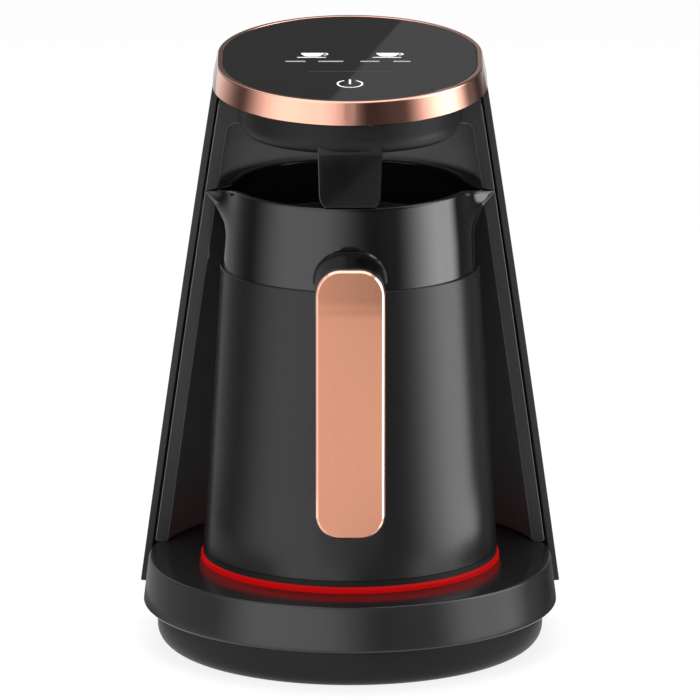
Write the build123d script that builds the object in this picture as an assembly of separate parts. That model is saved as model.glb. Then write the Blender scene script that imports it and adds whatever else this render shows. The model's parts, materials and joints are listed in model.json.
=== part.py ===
from build123d import *
import os
from math import atan2, cos, degrees, radians, sin

# Electric Turkish coffee maker: a round base with a hot plate, a tall hollow back that carries
# a tilted touch head, and a jug with a handle that slides forward off the hot plate.
# Millimetres. +Z is up, -Y is the front, and the origin is on the base's axis, on the table.

# ---------------------------------------------------------------- driving sizes: clearances
part_gap = 0.3            # free space between pieces that move past each other
fit_gap = 0.05            # radial play of a pin, screw or plug in its own hole
seam_gap = 0.2            # seam between two housings that meet
through = 1.0             # how far a cutting tool runs past the face that it cuts
same_level = 0.01         # two heights closer than this count as one

# ---------------------------------------------------------------- driving sizes: base
housing_wall = 2.6        # moulded wall of the large housings
pad_height = 1.5          # how far the rubber feet stand below the base
pad_radius = 7.0
pad_recess = 1.0
pad_margin = 17.5         # from the tier's wall to the circle of the feet
tier_margin = 10.5        # from the circle of the screw columns to the set-back lower tier
tier_height = 14.0
tier_round = 8.0
tier_flange = 2.0
band_step = 6.4           # how far the band above the tier stands out, at its lower edge
band_taper = 1.9          # how much narrower the same band is at the deck
band_height = 17.2
deck_edge = 0.6           # polished chamfer round the deck
column_margin = 5.1       # from the light ring to the circle of the screw columns
column_angles = (20.0, 160.0, 200.0, 340.0)
column_radius = 3.4
column_boss_radius = 4.6
column_boss_height = 7.5
screw_radius = 1.5
screw_head_radius = 2.9
screw_head_height = 2.0
screw_head_depth = 3.5    # where a screw head seats, above the underside of the base
base_screw_bite = 8.0     # length of screw in the column

# ---------------------------------------------------------------- driving sizes: hot plate
ring_margin = 0.8         # red light guide beyond the jug's foot
ring_width = 3.9
ring_height = 2.3
ring_ledge = 1.4          # how far the light guide rests on the deck
ring_depth = 6.0          # how far it reaches below the deck
ring_round = 0.9
lamp_width = 3.0
lamp_depth = 2.1
lamp_height = 1.0
lamp_count = 12
board_thickness = 1.6
lamp_board_width = 6.0
carrier_thickness = 1.2
carrier_margin = 0.4      # beyond the light ring
ear_margin = 3.6          # from the light ring to the circle of the ears
ear_angles = (45.0, 135.0, 225.0, 315.0)
ear_radius = 4.5
ear_boss_radius = 3.2
carrier_screw_bite = 4.5
heater_hole_gap = 1.0     # round the heater's legs
lead_hole_radius = 3.9
plate_thickness = 4.0
plate_seal_width = 1.5
plate_seal_drop = 0.4
standoff_margin = 9.0     # inside the light ring
standoff_radius = 4.0
standoff_count = 3
heater_margin = 10.0      # inside the circle of the standoffs
heater_tube_radius = 3.2
heater_arc = 330.0
heater_leg_drop = 6.0
heater_pin_radius = 1.0
heater_pin_length = 4.0
cutout_radius = 6.5
cutout_height = 5.6
cutout_place = 19.5
cutout_tab = (2.5, 1.0, 1.5)
cutout_tab_place = 3.0
fuse_radius = 2.0
fuse_length = 13.0
fuse_place = 21.0
fuse_lead_length = 6.0
fuse_strap_width = 4.0
fuse_strap_ear = 4.0
fuse_strap_thickness = 0.6

# ---------------------------------------------------------------- driving sizes: sprung probe
probe_radius = 9.0
probe_wall = 1.4
probe_flange = 1.8
probe_flange_height = 1.2
probe_skin = 0.8
probe_travel = 2.0
spring_wire = 0.7
spring_turns = 3.0
spring_spare = 1.6        # what is left between the turns when the probe is pressed right down
bead_radius = 2.5
bead_height = 2.2
lead_radius = 0.5
lead_spacing = 2.4
lead_tail = 1.5           # how far the leads reach below the carrier

# ---------------------------------------------------------------- driving sizes: electronics
power_board_width = 66.0
power_board_depth = 44.0
power_board_y = -6.0
post_height = 4.0
post_radius = 2.5
post_inset = 4.0
relay_size = (19.0, 15.5, 11.0)
relay_place = (-18.0, -12.0)
supply_size = (22.0, 18.0, 11.5)
supply_place = (16.0, -14.0)
capacitor_radius = 5.0
capacitor_length = 17.0
capacitor_place = (17.0, 5.0)
terminal_size = (24.0, 9.0, 10.0)
terminal_place = (-17.0, 8.0)
terminal_hole_radius = 2.2
terminal_hole_depth = 4.0
gland_height = 8.1        # height of the cord's axis above the underside of the base
gland_neck_radius = 4.2
gland_flange_radius = 5.6
gland_bore_radius = 3.2
gland_reach = 3.1         # how far the gland stands out of the tier
gland_depth = 3.4         # how far it reaches inside the wall
clamp_width = 22.0
clamp_depth = 7.0
clamp_height = 4.0
clamp_distance = 10.0     # from the tier's inner wall to the clamp

# ---------------------------------------------------------------- driving sizes: hollow back
shell_foot_lift = 1.7     # from the band's lower edge to the back's
shell_clearance = 1.8     # between the band and the back
shell_foot_straight = 1.0
head_step = 0.4           # how far the trim ring stands out from the back
shell_wall = 2.6
frame_gap = 0.6           # groove between the shell and the liner's flange
flange_width = 4.8
liner_wall = 1.8
flange_thickness = 2.0
flange_recess = 0.6       # how far the flange lies behind the shell's edge
front_y_at_deck = 20.0    # slanting front edge of the back
front_y_at_head = 8.0
ceiling_lift = 0.5        # from the head's underside up to the ceiling of the jug's bay
bay_corner = 3.5
shell_screw_angles = (60.0, 120.0)
shell_screw_height = 8.5  # above the shell's lower edge
shell_screw_length = 12.0
shell_head_proud = 0.4
harness_radius = 1.4
harness_bend = 4.0
harness_reach = 13.4      # how far the harness reaches into the head
harness_play = 2.0        # free space in front of the harness where it passes the deck
harness_notch = 4.0       # half width of that slot
harness_notch_lift = 2.0  # from the tier's flange to the slot
clip_width = 8.0
clip_height = 5.0
clip_depth = 12.0         # before the clip is trimmed to the gap that it sits in
clip_count = 3

# ---------------------------------------------------------------- driving sizes: head
head_tilt = 5.5           # degrees, front edge lower
head_front_y = -7.0       # centre of the head's front arc
head_rise = 18.6          # from the head's underside to the trim ring, at that centre
head_straight = 14.4      # between the centres of the front and rear arcs
head_margin = 6.0         # trim ring beyond the jug's rim
trim_taper = 1.6
trim_height = 8.9
trim_wall = 1.5
trim_lip = 2.2            # polished top of the trim ring
glass_thickness = 2.2
glass_recess = 0.1
trim_shelf = 1.8
trim_shelf_height = 1.3
cover_flange = 2.2
chin_margin = 10.1        # from the trim ring in to the chin
chin_gap = 20.3           # from the jug's rim to the head's underside
chin_round = 6.0
chin_wall = 2.2
chin_floor = 3.7          # the head's floor, which also carries the screw bosses over the bay
board_margin = 3.4        # from the glass's edge in to the board
well_radius = 6.0
icon_lamp_width = 1.0
icon_lamp_height = 0.7
icon_spacing = 28.0
icon_y = 26.0             # cup icons, behind the centre of the front arc
power_y = -14.0           # power symbol, before the centre of the front arc
touch_spring_radius = 4.0
touch_spring_wire = 0.6
touch_spring_turns = 3.0
buzzer_radius = 6.0
buzzer_height = 6.5
buzzer_place = (18.0, 22.0)
buzzer_port_radius = 1.2
buzzer_port_depth = 1.5
head_screw_x = 24.0
head_screw_y = 33.0
head_screw_length = 9.0
head_boss_radius = 3.4
head_boss_height = 6.5
cover_slot_depth = 12.0   # slot that lets the harness into the head
cover_slot_height = 14.0

# ---------------------------------------------------------------- driving sizes: foam sensor
arm_top_width = 24.5
arm_foot_width = 22.9
arm_overhang = 0.9        # how far the arm's front stands before the jug's rim
arm_depth = 10.0
arm_wall = 1.6
arm_clearance = 0.5       # above the jug's rim
arm_corner = 6.5
arm_corner_cut = 1.7      # how much of the rounded lower corners is cut off level
window_width = 14.0
window_depth = 5.0
diode_radius = 1.5
diode_height = 4.0
diode_spacing = 8.0
sensor_board_width = 4.8
sensor_board_thickness = 1.2
arm_slot_width = 6.0      # slot that lets the sensor's wires into the head
arm_slot_depth = 3.0
arm_slot_lift = 5.0

# ---------------------------------------------------------------- driving sizes: jug
jug_flare = 6.9           # how much wider the jug is at its foot than at the sleeve's top
sleeve_step = 1.1         # how far the matt sleeve stands out from the collar
collar_height = 31.3      # from the top of the matt sleeve to the rim
jug_rim_height = 145.5    # from the deck to the rim
rim_margin = 2.1          # thickness of the rim round the vessel's bore
collar_margin = 4.5       # the collar's foot beyond the vessel's bore
collar_taper = 0.6        # how much narrower the collar is at its knee
collar_knee_drop = 20.5   # from the rim down to the knee
collar_wall = 2.2
collar_skirt = 8.0        # how far the collar reaches down inside the sleeve
sleeve_wall = 2.0
sleeve_chamfer = 0.6
cap_height = 2.1
cap_margin = 1.0          # the cap ring's bore beyond the vessel's
cap_lip_wall = 2.0
cap_lip_height = 3.0
vessel_radius = 43.6      # inside of the steel vessel
vessel_wall = 0.8
vessel_round = 6.0
seal_thickness = 1.0
heat_disc_inset = 0.4     # from the vessel's flat floor to the disc's edge
heat_disc_thickness = 4.0
spout_reach = 10.3        # from the rim to the sharp tip of either spout, before rounding
spout_droop = 2.8         # how far the tip lies below the rim
spout_half_width = 11.0
spout_depth = 16.5
spout_root_half_width = 4.0
spout_wall = 1.6
spout_overlap = 2.0       # how far a spout's form runs inside the collar
spout_floor_rise = 2.6    # from the spout's root to the floor of its channel
spout_tip_round = 1.2
cap_screw_margin = 3.9    # from the vessel's bore to the circle of the screws
cap_screw_count = 3
cap_screw_length = 7.0
cap_screw_head = 1.4
cap_screw_recess = 0.1
cap_post_radius = 3.0
lug_radius = 2.8
lug_width = 4.0
lug_thickness = 3.0
lug_lift = 2.0            # from the vessel's floor to its lugs

# ---------------------------------------------------------------- driving sizes: handle
grip_reach = 27.7         # from the jug's foot to the handle's front
grip_depth = 12.0
grip_width = 26.2
grip_foot_height = 27.7   # from the deck to the handle's lower end
grip_top_drop = 15.6      # from the jug's rim down to the handle's top
grip_corner = 9.5
grip_lean_height = 14.0   # length of the part of the front that leans back
grip_lean = 4.0
face_plate_thickness = 1.6
face_plate_margin = 0.45
neck_root_width = 28.4
neck_root_corner = 11.0
neck_depth = 13.2
neck_setback = 0.4        # how far the neck lies inside the grip's outline where they meet
neck_overlap = 1.0        # how far the neck's form runs into the grip and the collar
web_radius = 8.0          # hollow corner under the neck
web_width = 18.4
handle_screw_spacing = 16.0
handle_screw_length = 16.0
handle_screw_head = 1.2

# ---------------------------------------------------------------- radii that follow, from the jug out
collar_foot_radius = vessel_radius + collar_margin
collar_knee_radius = collar_foot_radius - collar_taper
jug_rim_radius = vessel_radius + rim_margin
spout_tip = jug_rim_radius + spout_reach
sleeve_top_radius = collar_foot_radius + sleeve_step
jug_foot_radius = sleeve_top_radius + jug_flare
cap_screw_circle = vessel_radius + cap_screw_margin
heat_disc_radius = vessel_radius + vessel_wall - vessel_round - heat_disc_inset
grip_front_y = -(jug_foot_radius + grip_reach)
grip_back_y = grip_front_y + grip_depth
ring_radius = jug_foot_radius + ring_margin
ring_inner_radius = ring_radius - ring_width
lamp_radius = (ring_radius - ring_ledge + ring_inner_radius) / 2
plate_radius = ring_inner_radius - plate_seal_width
carrier_radius = ring_radius + carrier_margin
ear_circle = ring_radius + ear_margin
standoff_circle = ring_inner_radius - standoff_margin
heater_circle = standoff_circle - heater_margin
spring_radius = probe_radius + (probe_flange - spring_wire) / 2
column_circle = ring_radius + column_margin
tier_radius = column_circle + tier_margin
pad_circle = tier_radius - pad_margin
band_foot_radius = tier_radius + band_step
band_deck_radius = band_foot_radius - band_taper
shell_foot_radius = band_foot_radius + shell_clearance + shell_wall
trim_foot_radius = jug_rim_radius + head_margin
trim_top_radius = trim_foot_radius - trim_taper
glass_radius = trim_top_radius - trim_lip
touch_board_radius = glass_radius - board_margin
chin_radius = trim_foot_radius - chin_margin
shell_top_radius = trim_foot_radius - head_step
arm_front_y = -(jug_rim_radius + arm_overhang)
flange_inset = shell_wall + frame_gap                 # from the back's outside to the liner's flange
liner_inset = flange_inset + flange_width             # from the back's outside to the bay's wall
liner_back_inset = liner_inset - liner_wall

# ---------------------------------------------------------------- heights that follow, from the table up
tier_z = pad_height
floor_z = tier_z + housing_wall
boss_z = tier_z + column_boss_height
gland_z = tier_z + gland_height
band_z = tier_z + tier_height
shell_foot_z = band_z + shell_foot_lift
deck_z = band_z + band_height
seat_z = deck_z + ring_height                         # top of the hot plate, underside of the jug
carrier_z = deck_z - ring_depth - part_gap - lamp_height - board_thickness
plate_z = seat_z - plate_thickness
probe_foot_z = carrier_z + spring_turns * spring_wire + spring_spare + probe_travel
cap_top_z = seat_z + cap_height
vessel_z = seat_z + heat_disc_thickness
lug_z = vessel_z + lug_lift
rim_z = deck_z + jug_rim_height
sleeve_top_z = rim_z - collar_height
knee_z = rim_z - collar_knee_drop
spout_z = rim_z - spout_depth
vessel_top_z = spout_z - seal_thickness
grip_foot_z = deck_z + grip_foot_height
grip_top_z = rim_z - grip_top_drop
chin_z = rim_z + chin_gap
ceiling_z = chin_z + ceiling_lift
head_z = chin_z + head_rise
cover_board_z = cover_flange + board_thickness        # in the head's tilted frame
glass_z = trim_height - glass_recess - glass_thickness     # in the head's tilted frame
far = 300.0               # larger than the whole object, for cutting tools

CENTRE = Align.CENTER
LOW = (Align.CENTER, Align.CENTER, Align.MIN)
head_place = Pos(0, head_front_y, head_z) * Rot(head_tilt, 0, 0)


# ---------------------------------------------------------------- plain helpers
def disc(radius, low, high, x=0.0, y=0.0):
    return Pos(x, y, low) * Cylinder(radius, high - low, align=LOW)


def ring(outer, inner, low, high):
    return disc(outer, low, high) - disc(inner, low - through, high + through)


def block(width, depth, low, high, x=0.0, y=0.0):
    return Pos(x, y, low) * Box(width, depth, high - low, align=LOW)


def around(radius, angles):
    return [(radius * cos(radians(a)), radius * sin(radians(a))) for a in angles]


def even_angles(count, start=90.0):
    return [start + 360.0 * n / count for n in range(count)]


def turned(points):
    """Solid of revolution about Z from (radius, height) corners."""
    return revolve(Plane.XZ * make_face(Polyline(*points, close=True)), Axis.Z)


def side_prism(points, half_width):
    """Prism across X from (y, z) corners."""
    return extrude(Plane.YZ * make_face(Polyline(*points, close=True)), half_width, both=True)


def joined(pieces):
    whole = Part()
    for piece in pieces:
        whole += piece
    return whole


def rod_y(radius, low_y, high_y, x, z):
    return Pos(x, (low_y + high_y) / 2, z) * Rot(90, 0, 0) * Cylinder(radius, high_y - low_y)


def screw(x, y, seat, length):
    """Pan-head screw that points up: its head lies below the seat."""
    head = disc(screw_head_radius, seat - screw_head_height, seat, x, y)
    return head + disc(screw_radius, seat, seat + length, x, y)


def coil(radius, wire, low, high, turns):
    height = high - low - wire
    path = Helix(height / turns, height, radius, center=(0, 0, low + wire / 2))
    section = Plane(origin=path @ 0, z_dir=path % 0) * Circle(wire / 2)
    return sweep(section, path=path)


# ---------------------------------------------------------------- the back's and the head's forms
def obround(radius, straight):
    return SlotCenterToCenter(straight, 2 * radius, rotation=90)


def head_outline(radius):
    """Outline of the head in its own frame, whose origin is the front arc's centre."""
    return Pos(0, head_straight / 2) * obround(radius, head_straight)


def head_slab(radius, low, high, top_radius=None):
    """Slab of the head's outline in the tilted frame, in the object's place."""
    foot = Pos(0, 0, low) * head_outline(radius)
    top = Pos(0, 0, high) * head_outline(radius if top_radius is None else top_radius)
    return head_place * loft([foot, top], ruled=True)


def back_form(inset):
    """Filled form of the back and head, its surface moved inwards by the inset."""
    foot = Pos(0, 0, shell_foot_z) * obround(shell_foot_radius - inset, shell_foot_straight)
    top = head_place * head_outline(shell_top_radius - inset)
    return loft([foot, top], ruled=True)


def front_y(z):
    share = (z - deck_z) / (head_z - deck_z)
    return front_y_at_deck + (front_y_at_head - front_y_at_deck) * share


def behind_front(setback=0.0, low=-far, high=far):
    corners = [(front_y(low) + setback, low), (front_y(high) + setback, high), (far, high), (far, low)]
    return side_prism(corners, far)


def chin_upright(radius, low):
    """Tall upright prism of the head's outline, from a height up."""
    return Pos(0, head_front_y + head_straight / 2, low) * extrude(obround(radius, head_straight), far)


def chin_prism(radius, low):
    """Upright prism under the head, from a height up to the head's tilted plane."""
    below_head = head_place * Pos(0, 0, through) * Box(far, far, far, align=(CENTRE, CENTRE, Align.MAX))
    return chin_upright(radius, low) & below_head


# ---------------------------------------------------------------- base
def tier_skin():
    outer = disc(tier_radius, tier_z, band_z)
    outer = fillet(outer.edges().sort_by(Axis.Z)[0], tier_round)
    flange = disc(band_radius(band_z + tier_flange) - housing_wall - seam_gap, band_z, band_z + tier_flange)
    inner = disc(tier_radius - housing_wall, floor_z, band_z + tier_flange + through)
    inner = fillet(inner.edges().sort_by(Axis.Z)[0], tier_round - housing_wall)
    return outer + flange - inner


def base_lower_shell():
    shell = tier_skin()
    for x, y in around(column_circle, column_angles):
        boss = disc(column_boss_radius, floor_z - through, boss_z, x, y)
        shell += boss & disc(tier_radius - housing_wall / 2, 0, far)
        shell -= disc(screw_head_radius + part_gap, 0, tier_z + screw_head_depth, x, y)
        shell -= disc(screw_radius + fit_gap, 0, boss_z + through, x, y)
    for x, y in around(pad_circle, ear_angles):
        shell -= disc(pad_radius + fit_gap, 0, tier_z + pad_recess, x, y)
    for x, y in post_places():
        shell += disc(post_radius, floor_z - through, floor_z + post_height, x, y)
    for x in (-clamp_screw_x(), clamp_screw_x()):
        shell += disc(post_radius, floor_z - through, clamp_z(), x, clamp_y())
    return shell - rod_y(gland_neck_radius + fit_gap, gland_inner_y(), far, 0, gland_z)


def rubber_feet():
    return joined(disc(pad_radius, 0, tier_z + pad_recess, x, y) for x, y in around(pad_circle, ear_angles))


def base_screws():
    seat = tier_z + screw_head_depth
    length = boss_z - seat + base_screw_bite
    return joined(screw(x, y, seat, length) for x, y in around(column_circle, column_angles))


def band_radius(z):
    return band_foot_radius + (band_deck_radius - band_foot_radius) * (z - band_z) / band_height


def base_upper_shell():
    deck_low = deck_z - housing_wall
    shell = turned([
        (ring_radius - ring_ledge + part_gap, deck_low),
        (ring_radius - ring_ledge + part_gap, deck_z),
        (band_deck_radius - deck_edge, deck_z),
        (band_radius(deck_z - deck_edge), deck_z - deck_edge),
        (band_foot_radius, band_z),
        (band_foot_radius - housing_wall, band_z),
        (band_radius(deck_low) - housing_wall, deck_low),
    ])
    for x, y in around(ear_circle, ear_angles):
        shell += disc(ear_boss_radius, carrier_z, deck_low, x, y)
        shell -= disc(screw_radius + fit_gap, carrier_z - through, deck_low, x, y)
    for x, y in around(column_circle, column_angles):
        shell += disc(column_radius, boss_z, deck_low, x, y)
        shell -= disc(screw_radius + fit_gap, boss_z - through, deck_low - through, x, y)
    notch_foot = band_z + tier_flange + harness_notch_lift
    notch_front = gap_point(deck_z) - harness_radius - harness_play
    shell -= block(2 * harness_notch, far, notch_foot, deck_z + through, 0, notch_front + far / 2)
    for hole in shell_screw_holes():
        shell -= hole
    return shell


def light_ring():
    upper = ring(ring_radius, ring_inner_radius, deck_z, seat_z)
    upper = fillet(upper.edges().group_by(Axis.Z)[-1].sort_by(SortBy.LENGTH)[-1], ring_round)
    return upper + ring(ring_radius - ring_ledge, ring_inner_radius, deck_z - ring_depth, deck_z)


def led_ring_board():
    half = lamp_board_width / 2
    return ring(lamp_radius + half, lamp_radius - half, carrier_z, carrier_z + board_thickness)


def ring_lamps():
    low = carrier_z + board_thickness
    lamps = []
    for angle in even_angles(lamp_count):
        lamp = Pos(lamp_radius, 0, low) * Box(lamp_depth, lamp_width, lamp_height, align=LOW)
        lamps.append(Rot(0, 0, angle) * lamp)
    return joined(lamps)


def plate_carrier():
    low = carrier_z - carrier_thickness
    carrier = disc(carrier_radius, low, carrier_z)
    for x, y in around(ear_circle, ear_angles):
        carrier += disc(ear_radius, low, carrier_z, x, y)
        carrier -= disc(screw_radius + part_gap, low - through, carrier_z + through, x, y)
    for x, y in around(standoff_circle, even_angles(standoff_count, 30)):
        carrier -= disc(screw_radius + part_gap, low - through, carrier_z + through, x, y)
    for x, y in around(heater_circle, heater_leg_angles()):
        carrier -= disc(heater_tube_radius + heater_hole_gap, low - through, carrier_z + through, x, y)
    return carrier - disc(lead_hole_radius, low - through, carrier_z + through)


def carrier_screws():
    seat = carrier_z - carrier_thickness
    places = around(ear_circle, ear_angles) + around(standoff_circle, even_angles(standoff_count, 30))
    return joined(screw(x, y, seat, carrier_thickness + carrier_screw_bite) for x, y in places)


def hot_plate():
    plate = disc(plate_radius - fit_gap, plate_z, seat_z)
    for x, y in around(standoff_circle, even_angles(standoff_count, 30)):
        plate += disc(standoff_radius, carrier_z, plate_z, x, y)
        plate -= disc(screw_radius + fit_gap, carrier_z - through, plate_z, x, y)
    return plate - disc(probe_radius + part_gap, plate_z - through, seat_z + through)


def plate_seal():
    return ring(ring_inner_radius - fit_gap, plate_radius + fit_gap, plate_z, seat_z - plate_seal_drop)


def heater_leg_angles():
    spare = (360.0 - heater_arc) / 2
    return [90.0 - spare, 90.0 + spare]


def heating_element():
    middle = plate_z - heater_tube_radius
    section = Plane.XZ * Pos(heater_circle, middle) * Circle(heater_tube_radius)
    first, last = heater_leg_angles()
    tube = Rot(0, 0, last) * revolve(section, Axis.Z, heater_arc)
    foot = carrier_z - heater_leg_drop
    for x, y in around(heater_circle, (first, last)):
        tube += disc(heater_tube_radius, foot, middle, x, y)
        tube += disc(heater_pin_radius, foot - heater_pin_length, foot, x, y)
        tube += Pos(x, y, middle) * Sphere(heater_tube_radius)
    return tube


def thermal_cutout():
    low = plate_z - cutout_height
    body = disc(cutout_radius, low, plate_z, cutout_place, 0)
    width, depth, height = cutout_tab
    for side in (-1, 1):
        body += block(width, depth, low - height, low, cutout_place, side * cutout_tab_place)
    return body


def thermal_fuse():
    place = Pos(0, -fuse_place, plate_z - fuse_radius) * Rot(0, 90, 0)
    fuse = place * Cylinder(fuse_radius, fuse_length)
    lead = place * Cylinder(lead_radius, fuse_length + 2 * fuse_lead_length)
    strap_depth = 2 * (fuse_radius + fuse_strap_ear)
    strap = block(fuse_strap_width, strap_depth, plate_z - fuse_strap_thickness, plate_z, 0, -fuse_place)
    return fuse + lead + (strap - fuse)


# ---------------------------------------------------------------- sprung probe in the hot plate
def probe_cap():
    cap = disc(probe_radius, probe_foot_z, seat_z)
    cap += disc(probe_radius + probe_flange, probe_foot_z, probe_foot_z + probe_flange_height)
    return cap - disc(probe_radius - probe_wall, probe_foot_z - through, seat_z - probe_skin)


def probe_thermistor():
    top = seat_z - probe_skin
    lead_foot = carrier_z - carrier_thickness - lead_tail
    bead = disc(bead_radius, top - bead_height, top)
    for side in (-1, 1):
        bead += disc(lead_radius, lead_foot, top - bead_height, side * lead_spacing / 2, 0)
    return bead


def probe_spring():
    return coil(spring_radius, spring_wire, carrier_z, probe_foot_z, spring_turns)


# ---------------------------------------------------------------- electronics in the base
def post_places():
    x = power_board_width / 2 - post_inset
    y = power_board_depth / 2 - post_inset
    return [(i * x, power_board_y + j * y) for i in (-1, 1) for j in (-1, 1)]


def board_top():
    return floor_z + post_height + board_thickness


def power_board():
    low = floor_z + post_height
    return block(power_board_width, power_board_depth, low, board_top(), 0, power_board_y)


def on_board(size, place):
    return block(size[0], size[1], board_top(), board_top() + size[2], place[0], place[1])


def relay():
    return on_board(relay_size, relay_place)


def supply_module():
    return on_board(supply_size, supply_place)


def capacitor():
    x, y = capacitor_place
    place = Pos(x, y, board_top() + capacitor_radius) * Rot(0, 90, 0)
    return place * Cylinder(capacitor_radius, capacitor_length)


def terminal_block():
    body = on_board(terminal_size, terminal_place)
    pitch = terminal_size[0] / 3
    for n in (-1, 0, 1):
        x, y = terminal_place[0] + n * pitch, terminal_place[1]
        body -= disc(terminal_hole_radius, board_top() + terminal_size[2] - terminal_hole_depth, far, x, y)
    return body


def gland_inner_y():
    return tier_radius - housing_wall - gland_depth


def cord_gland():
    """Sleeve through the tier's wall, with a flange on each side of the wall."""
    outside = tier_radius + gland_reach
    gland = rod_y(gland_flange_radius, gland_inner_y(), outside, 0, gland_z) - tier_skin()
    gland += rod_y(gland_neck_radius, gland_inner_y(), outside, 0, gland_z)
    return gland - rod_y(gland_bore_radius, gland_inner_y() - through, outside + through, 0, gland_z)


def clamp_y():
    return tier_radius - housing_wall - clamp_distance


def clamp_screw_x():
    return clamp_width / 2 - post_radius


def clamp_z():
    return gland_z - clamp_height / 2


def cord_clamp():
    clamp = block(clamp_width, clamp_depth, clamp_z(), gland_z + clamp_height, 0, clamp_y())
    return clamp - rod_y(gland_bore_radius + part_gap, 0, far, 0, gland_z)


# ---------------------------------------------------------------- hollow back
def radial_rod(radius, angle, low, high):
    """Level rod that points away from the axis at the shell screws' height."""
    rod = Pos(low, 0, shell_foot_z + shell_screw_height) * Rot(0, 90, 0) * Cylinder(
        radius, high - low, align=LOW)
    return Rot(0, 0, angle) * rod


def shell_screw_holes():
    start = band_deck_radius - shell_screw_length
    return [radial_rod(screw_radius + fit_gap, angle, start, far) for angle in shell_screw_angles]


def rear_shell():
    shell = (back_form(0) - back_form(shell_wall)) & behind_front()
    for hole in shell_screw_holes():
        shell -= hole
    return shell


def shell_screws():
    face = shell_foot_radius + shell_foot_straight / 2
    screws = []
    for angle in shell_screw_angles:
        head = radial_rod(screw_head_radius, angle, face - shell_wall, face + shell_head_proud) - back_form(0)
        shank = radial_rod(screw_radius, angle, face - shell_screw_length, face - shell_head_proud)
        screws.append(head + shank)
    return joined(screws)


def bay_form(inset, top, corner):
    """Space inside the back from the deck up to a level ceiling with a rounded edge."""
    form = back_form(inset) & block(2 * far, 2 * far, deck_z, top)
    rim = form.edges().filter_by(lambda e: abs(e.center().Z - top) < same_level)
    return fillet(rim, corner)


def niche_liner():
    outer = bay_form(liner_back_inset, ceiling_z + liner_wall, bay_corner + liner_wall)
    bay = bay_form(liner_inset, ceiling_z, bay_corner)
    front = behind_front(flange_recess)
    skin = outer & front
    face = (back_form(flange_inset) & front) - behind_front(flange_recess + flange_thickness)
    face = face & block(2 * far, 2 * far, deck_z, far)
    face -= chin_prism(chin_radius + part_gap, ceiling_z - through)
    face = face & (head_place * Pos(0, 0, -seam_gap) * Box(far, far, far, align=(CENTRE, CENTRE, Align.MAX)))
    liner = skin + face - bay
    for x, y in head_screw_places():
        liner -= disc(screw_radius + fit_gap, ceiling_z - through, far, x, y)
    return liner


def gap_line():
    """Centre of the gap behind the liner at X = 0: its (y, z) at the deck and at the head."""
    inset = (shell_wall + liner_back_inset) / 2
    foot = (shell_foot_straight / 2 + shell_foot_radius - inset, shell_foot_z)
    reach = head_straight + shell_top_radius - inset
    lean = radians(head_tilt)
    top = (head_front_y + reach * cos(lean), head_z + reach * sin(lean))
    return foot, top


def gap_point(z):
    foot, top = gap_line()
    return foot[0] + (top[0] - foot[0]) * (z - foot[1]) / (top[1] - foot[1])


def wire_harness():
    """Sleeved wires from the power board, up behind the bay, and forward into the head."""
    start_z = board_top() + harness_radius
    turn_z = ceiling_z + liner_wall + bay_corner + harness_radius + fit_gap
    rise_y = gap_point(deck_z)
    points = [
        (power_board_y + power_board_depth / 2 - post_inset, start_z),
        (rise_y - 33.0, start_z + 7.0),
        (rise_y - 7.0, deck_z - 11.0),
        (rise_y + 0.6, deck_z - 5.5),
        (gap_point(deck_z + 1.0), deck_z + 1.0),
        (gap_point(turn_z - harness_bend), turn_z - harness_bend),
        (cover_slot_y() - harness_reach, turn_z),
    ]
    route = FilletPolyline(*[(0, y, z) for y, z in points], radius=harness_bend)
    section = Plane(origin=route @ 0, z_dir=route % 0) * Circle(harness_radius)
    return sweep(section, path=route)


def harness_channel():
    """Straight way for the harness through the clips, along the middle of the gap."""
    low, high = gap_line()
    span = Vector(0, high[0] - low[0], high[1] - low[1])
    place = Plane(origin=(0, low[0], low[1]), z_dir=span)
    return place * Cylinder(harness_radius + fit_gap, span.length, align=LOW)


def harness_clips():
    cavity = back_form(shell_wall + fit_gap) - back_form(liner_back_inset)
    clips = []
    for n in range(clip_count):
        z = deck_z + (ceiling_z - deck_z) * (n + 0.5) / clip_count
        clip = Pos(0, gap_point(z), z) * Box(clip_width, clip_depth, clip_height)
        clips.append((clip & cavity) - harness_channel())
    return joined(clips)


# ---------------------------------------------------------------- head
def head_screw_places():
    return [(side * head_screw_x, head_screw_y) for side in (-1, 1)]


def chin_form():
    """Filled form of the chin with its rounded lower edge."""
    form = chin_prism(chin_radius, chin_z)
    return fillet(form.edges().group_by(Axis.Z)[0], chin_round)


def head_cover():
    """Chin and flange under the touch panel, hollow, and open at the back over the bay."""
    inner_z = chin_z + chin_floor
    hollow = chin_upright(chin_radius - chin_wall, inner_z)
    hollow = fillet(hollow.edges().group_by(Axis.Z)[0], chin_round - chin_wall)
    over_bay = behind_front(flange_recess - part_gap) & block(
        2 * far, 2 * far, 0, ceiling_z + liner_wall + part_gap)
    cover = chin_form() + head_slab(trim_foot_radius - trim_wall - seam_gap, 0, cover_flange) - hollow
    for x, y in head_screw_places():
        cover += disc(head_boss_radius, inner_z - through, inner_z + head_boss_height, x, y)
    cover -= over_bay
    for x, y in head_screw_places():
        cover -= disc(screw_radius + fit_gap, 0, ceiling_z + liner_wall + head_screw_length, x, y)
    return cover - cover_slot() - arm_slot()


def cover_slot_y():
    return head_front_y + head_straight + chin_radius


def cover_slot():
    """Slot in the cover's rear wall that lets the harness in."""
    low = ceiling_z + liner_wall + part_gap
    return block(2 * harness_notch, cover_slot_depth, low, low + cover_slot_height, 0, cover_slot_y())


def head_screws():
    return joined(screw(x, y, ceiling_z, head_screw_length) for x, y in head_screw_places())


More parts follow.
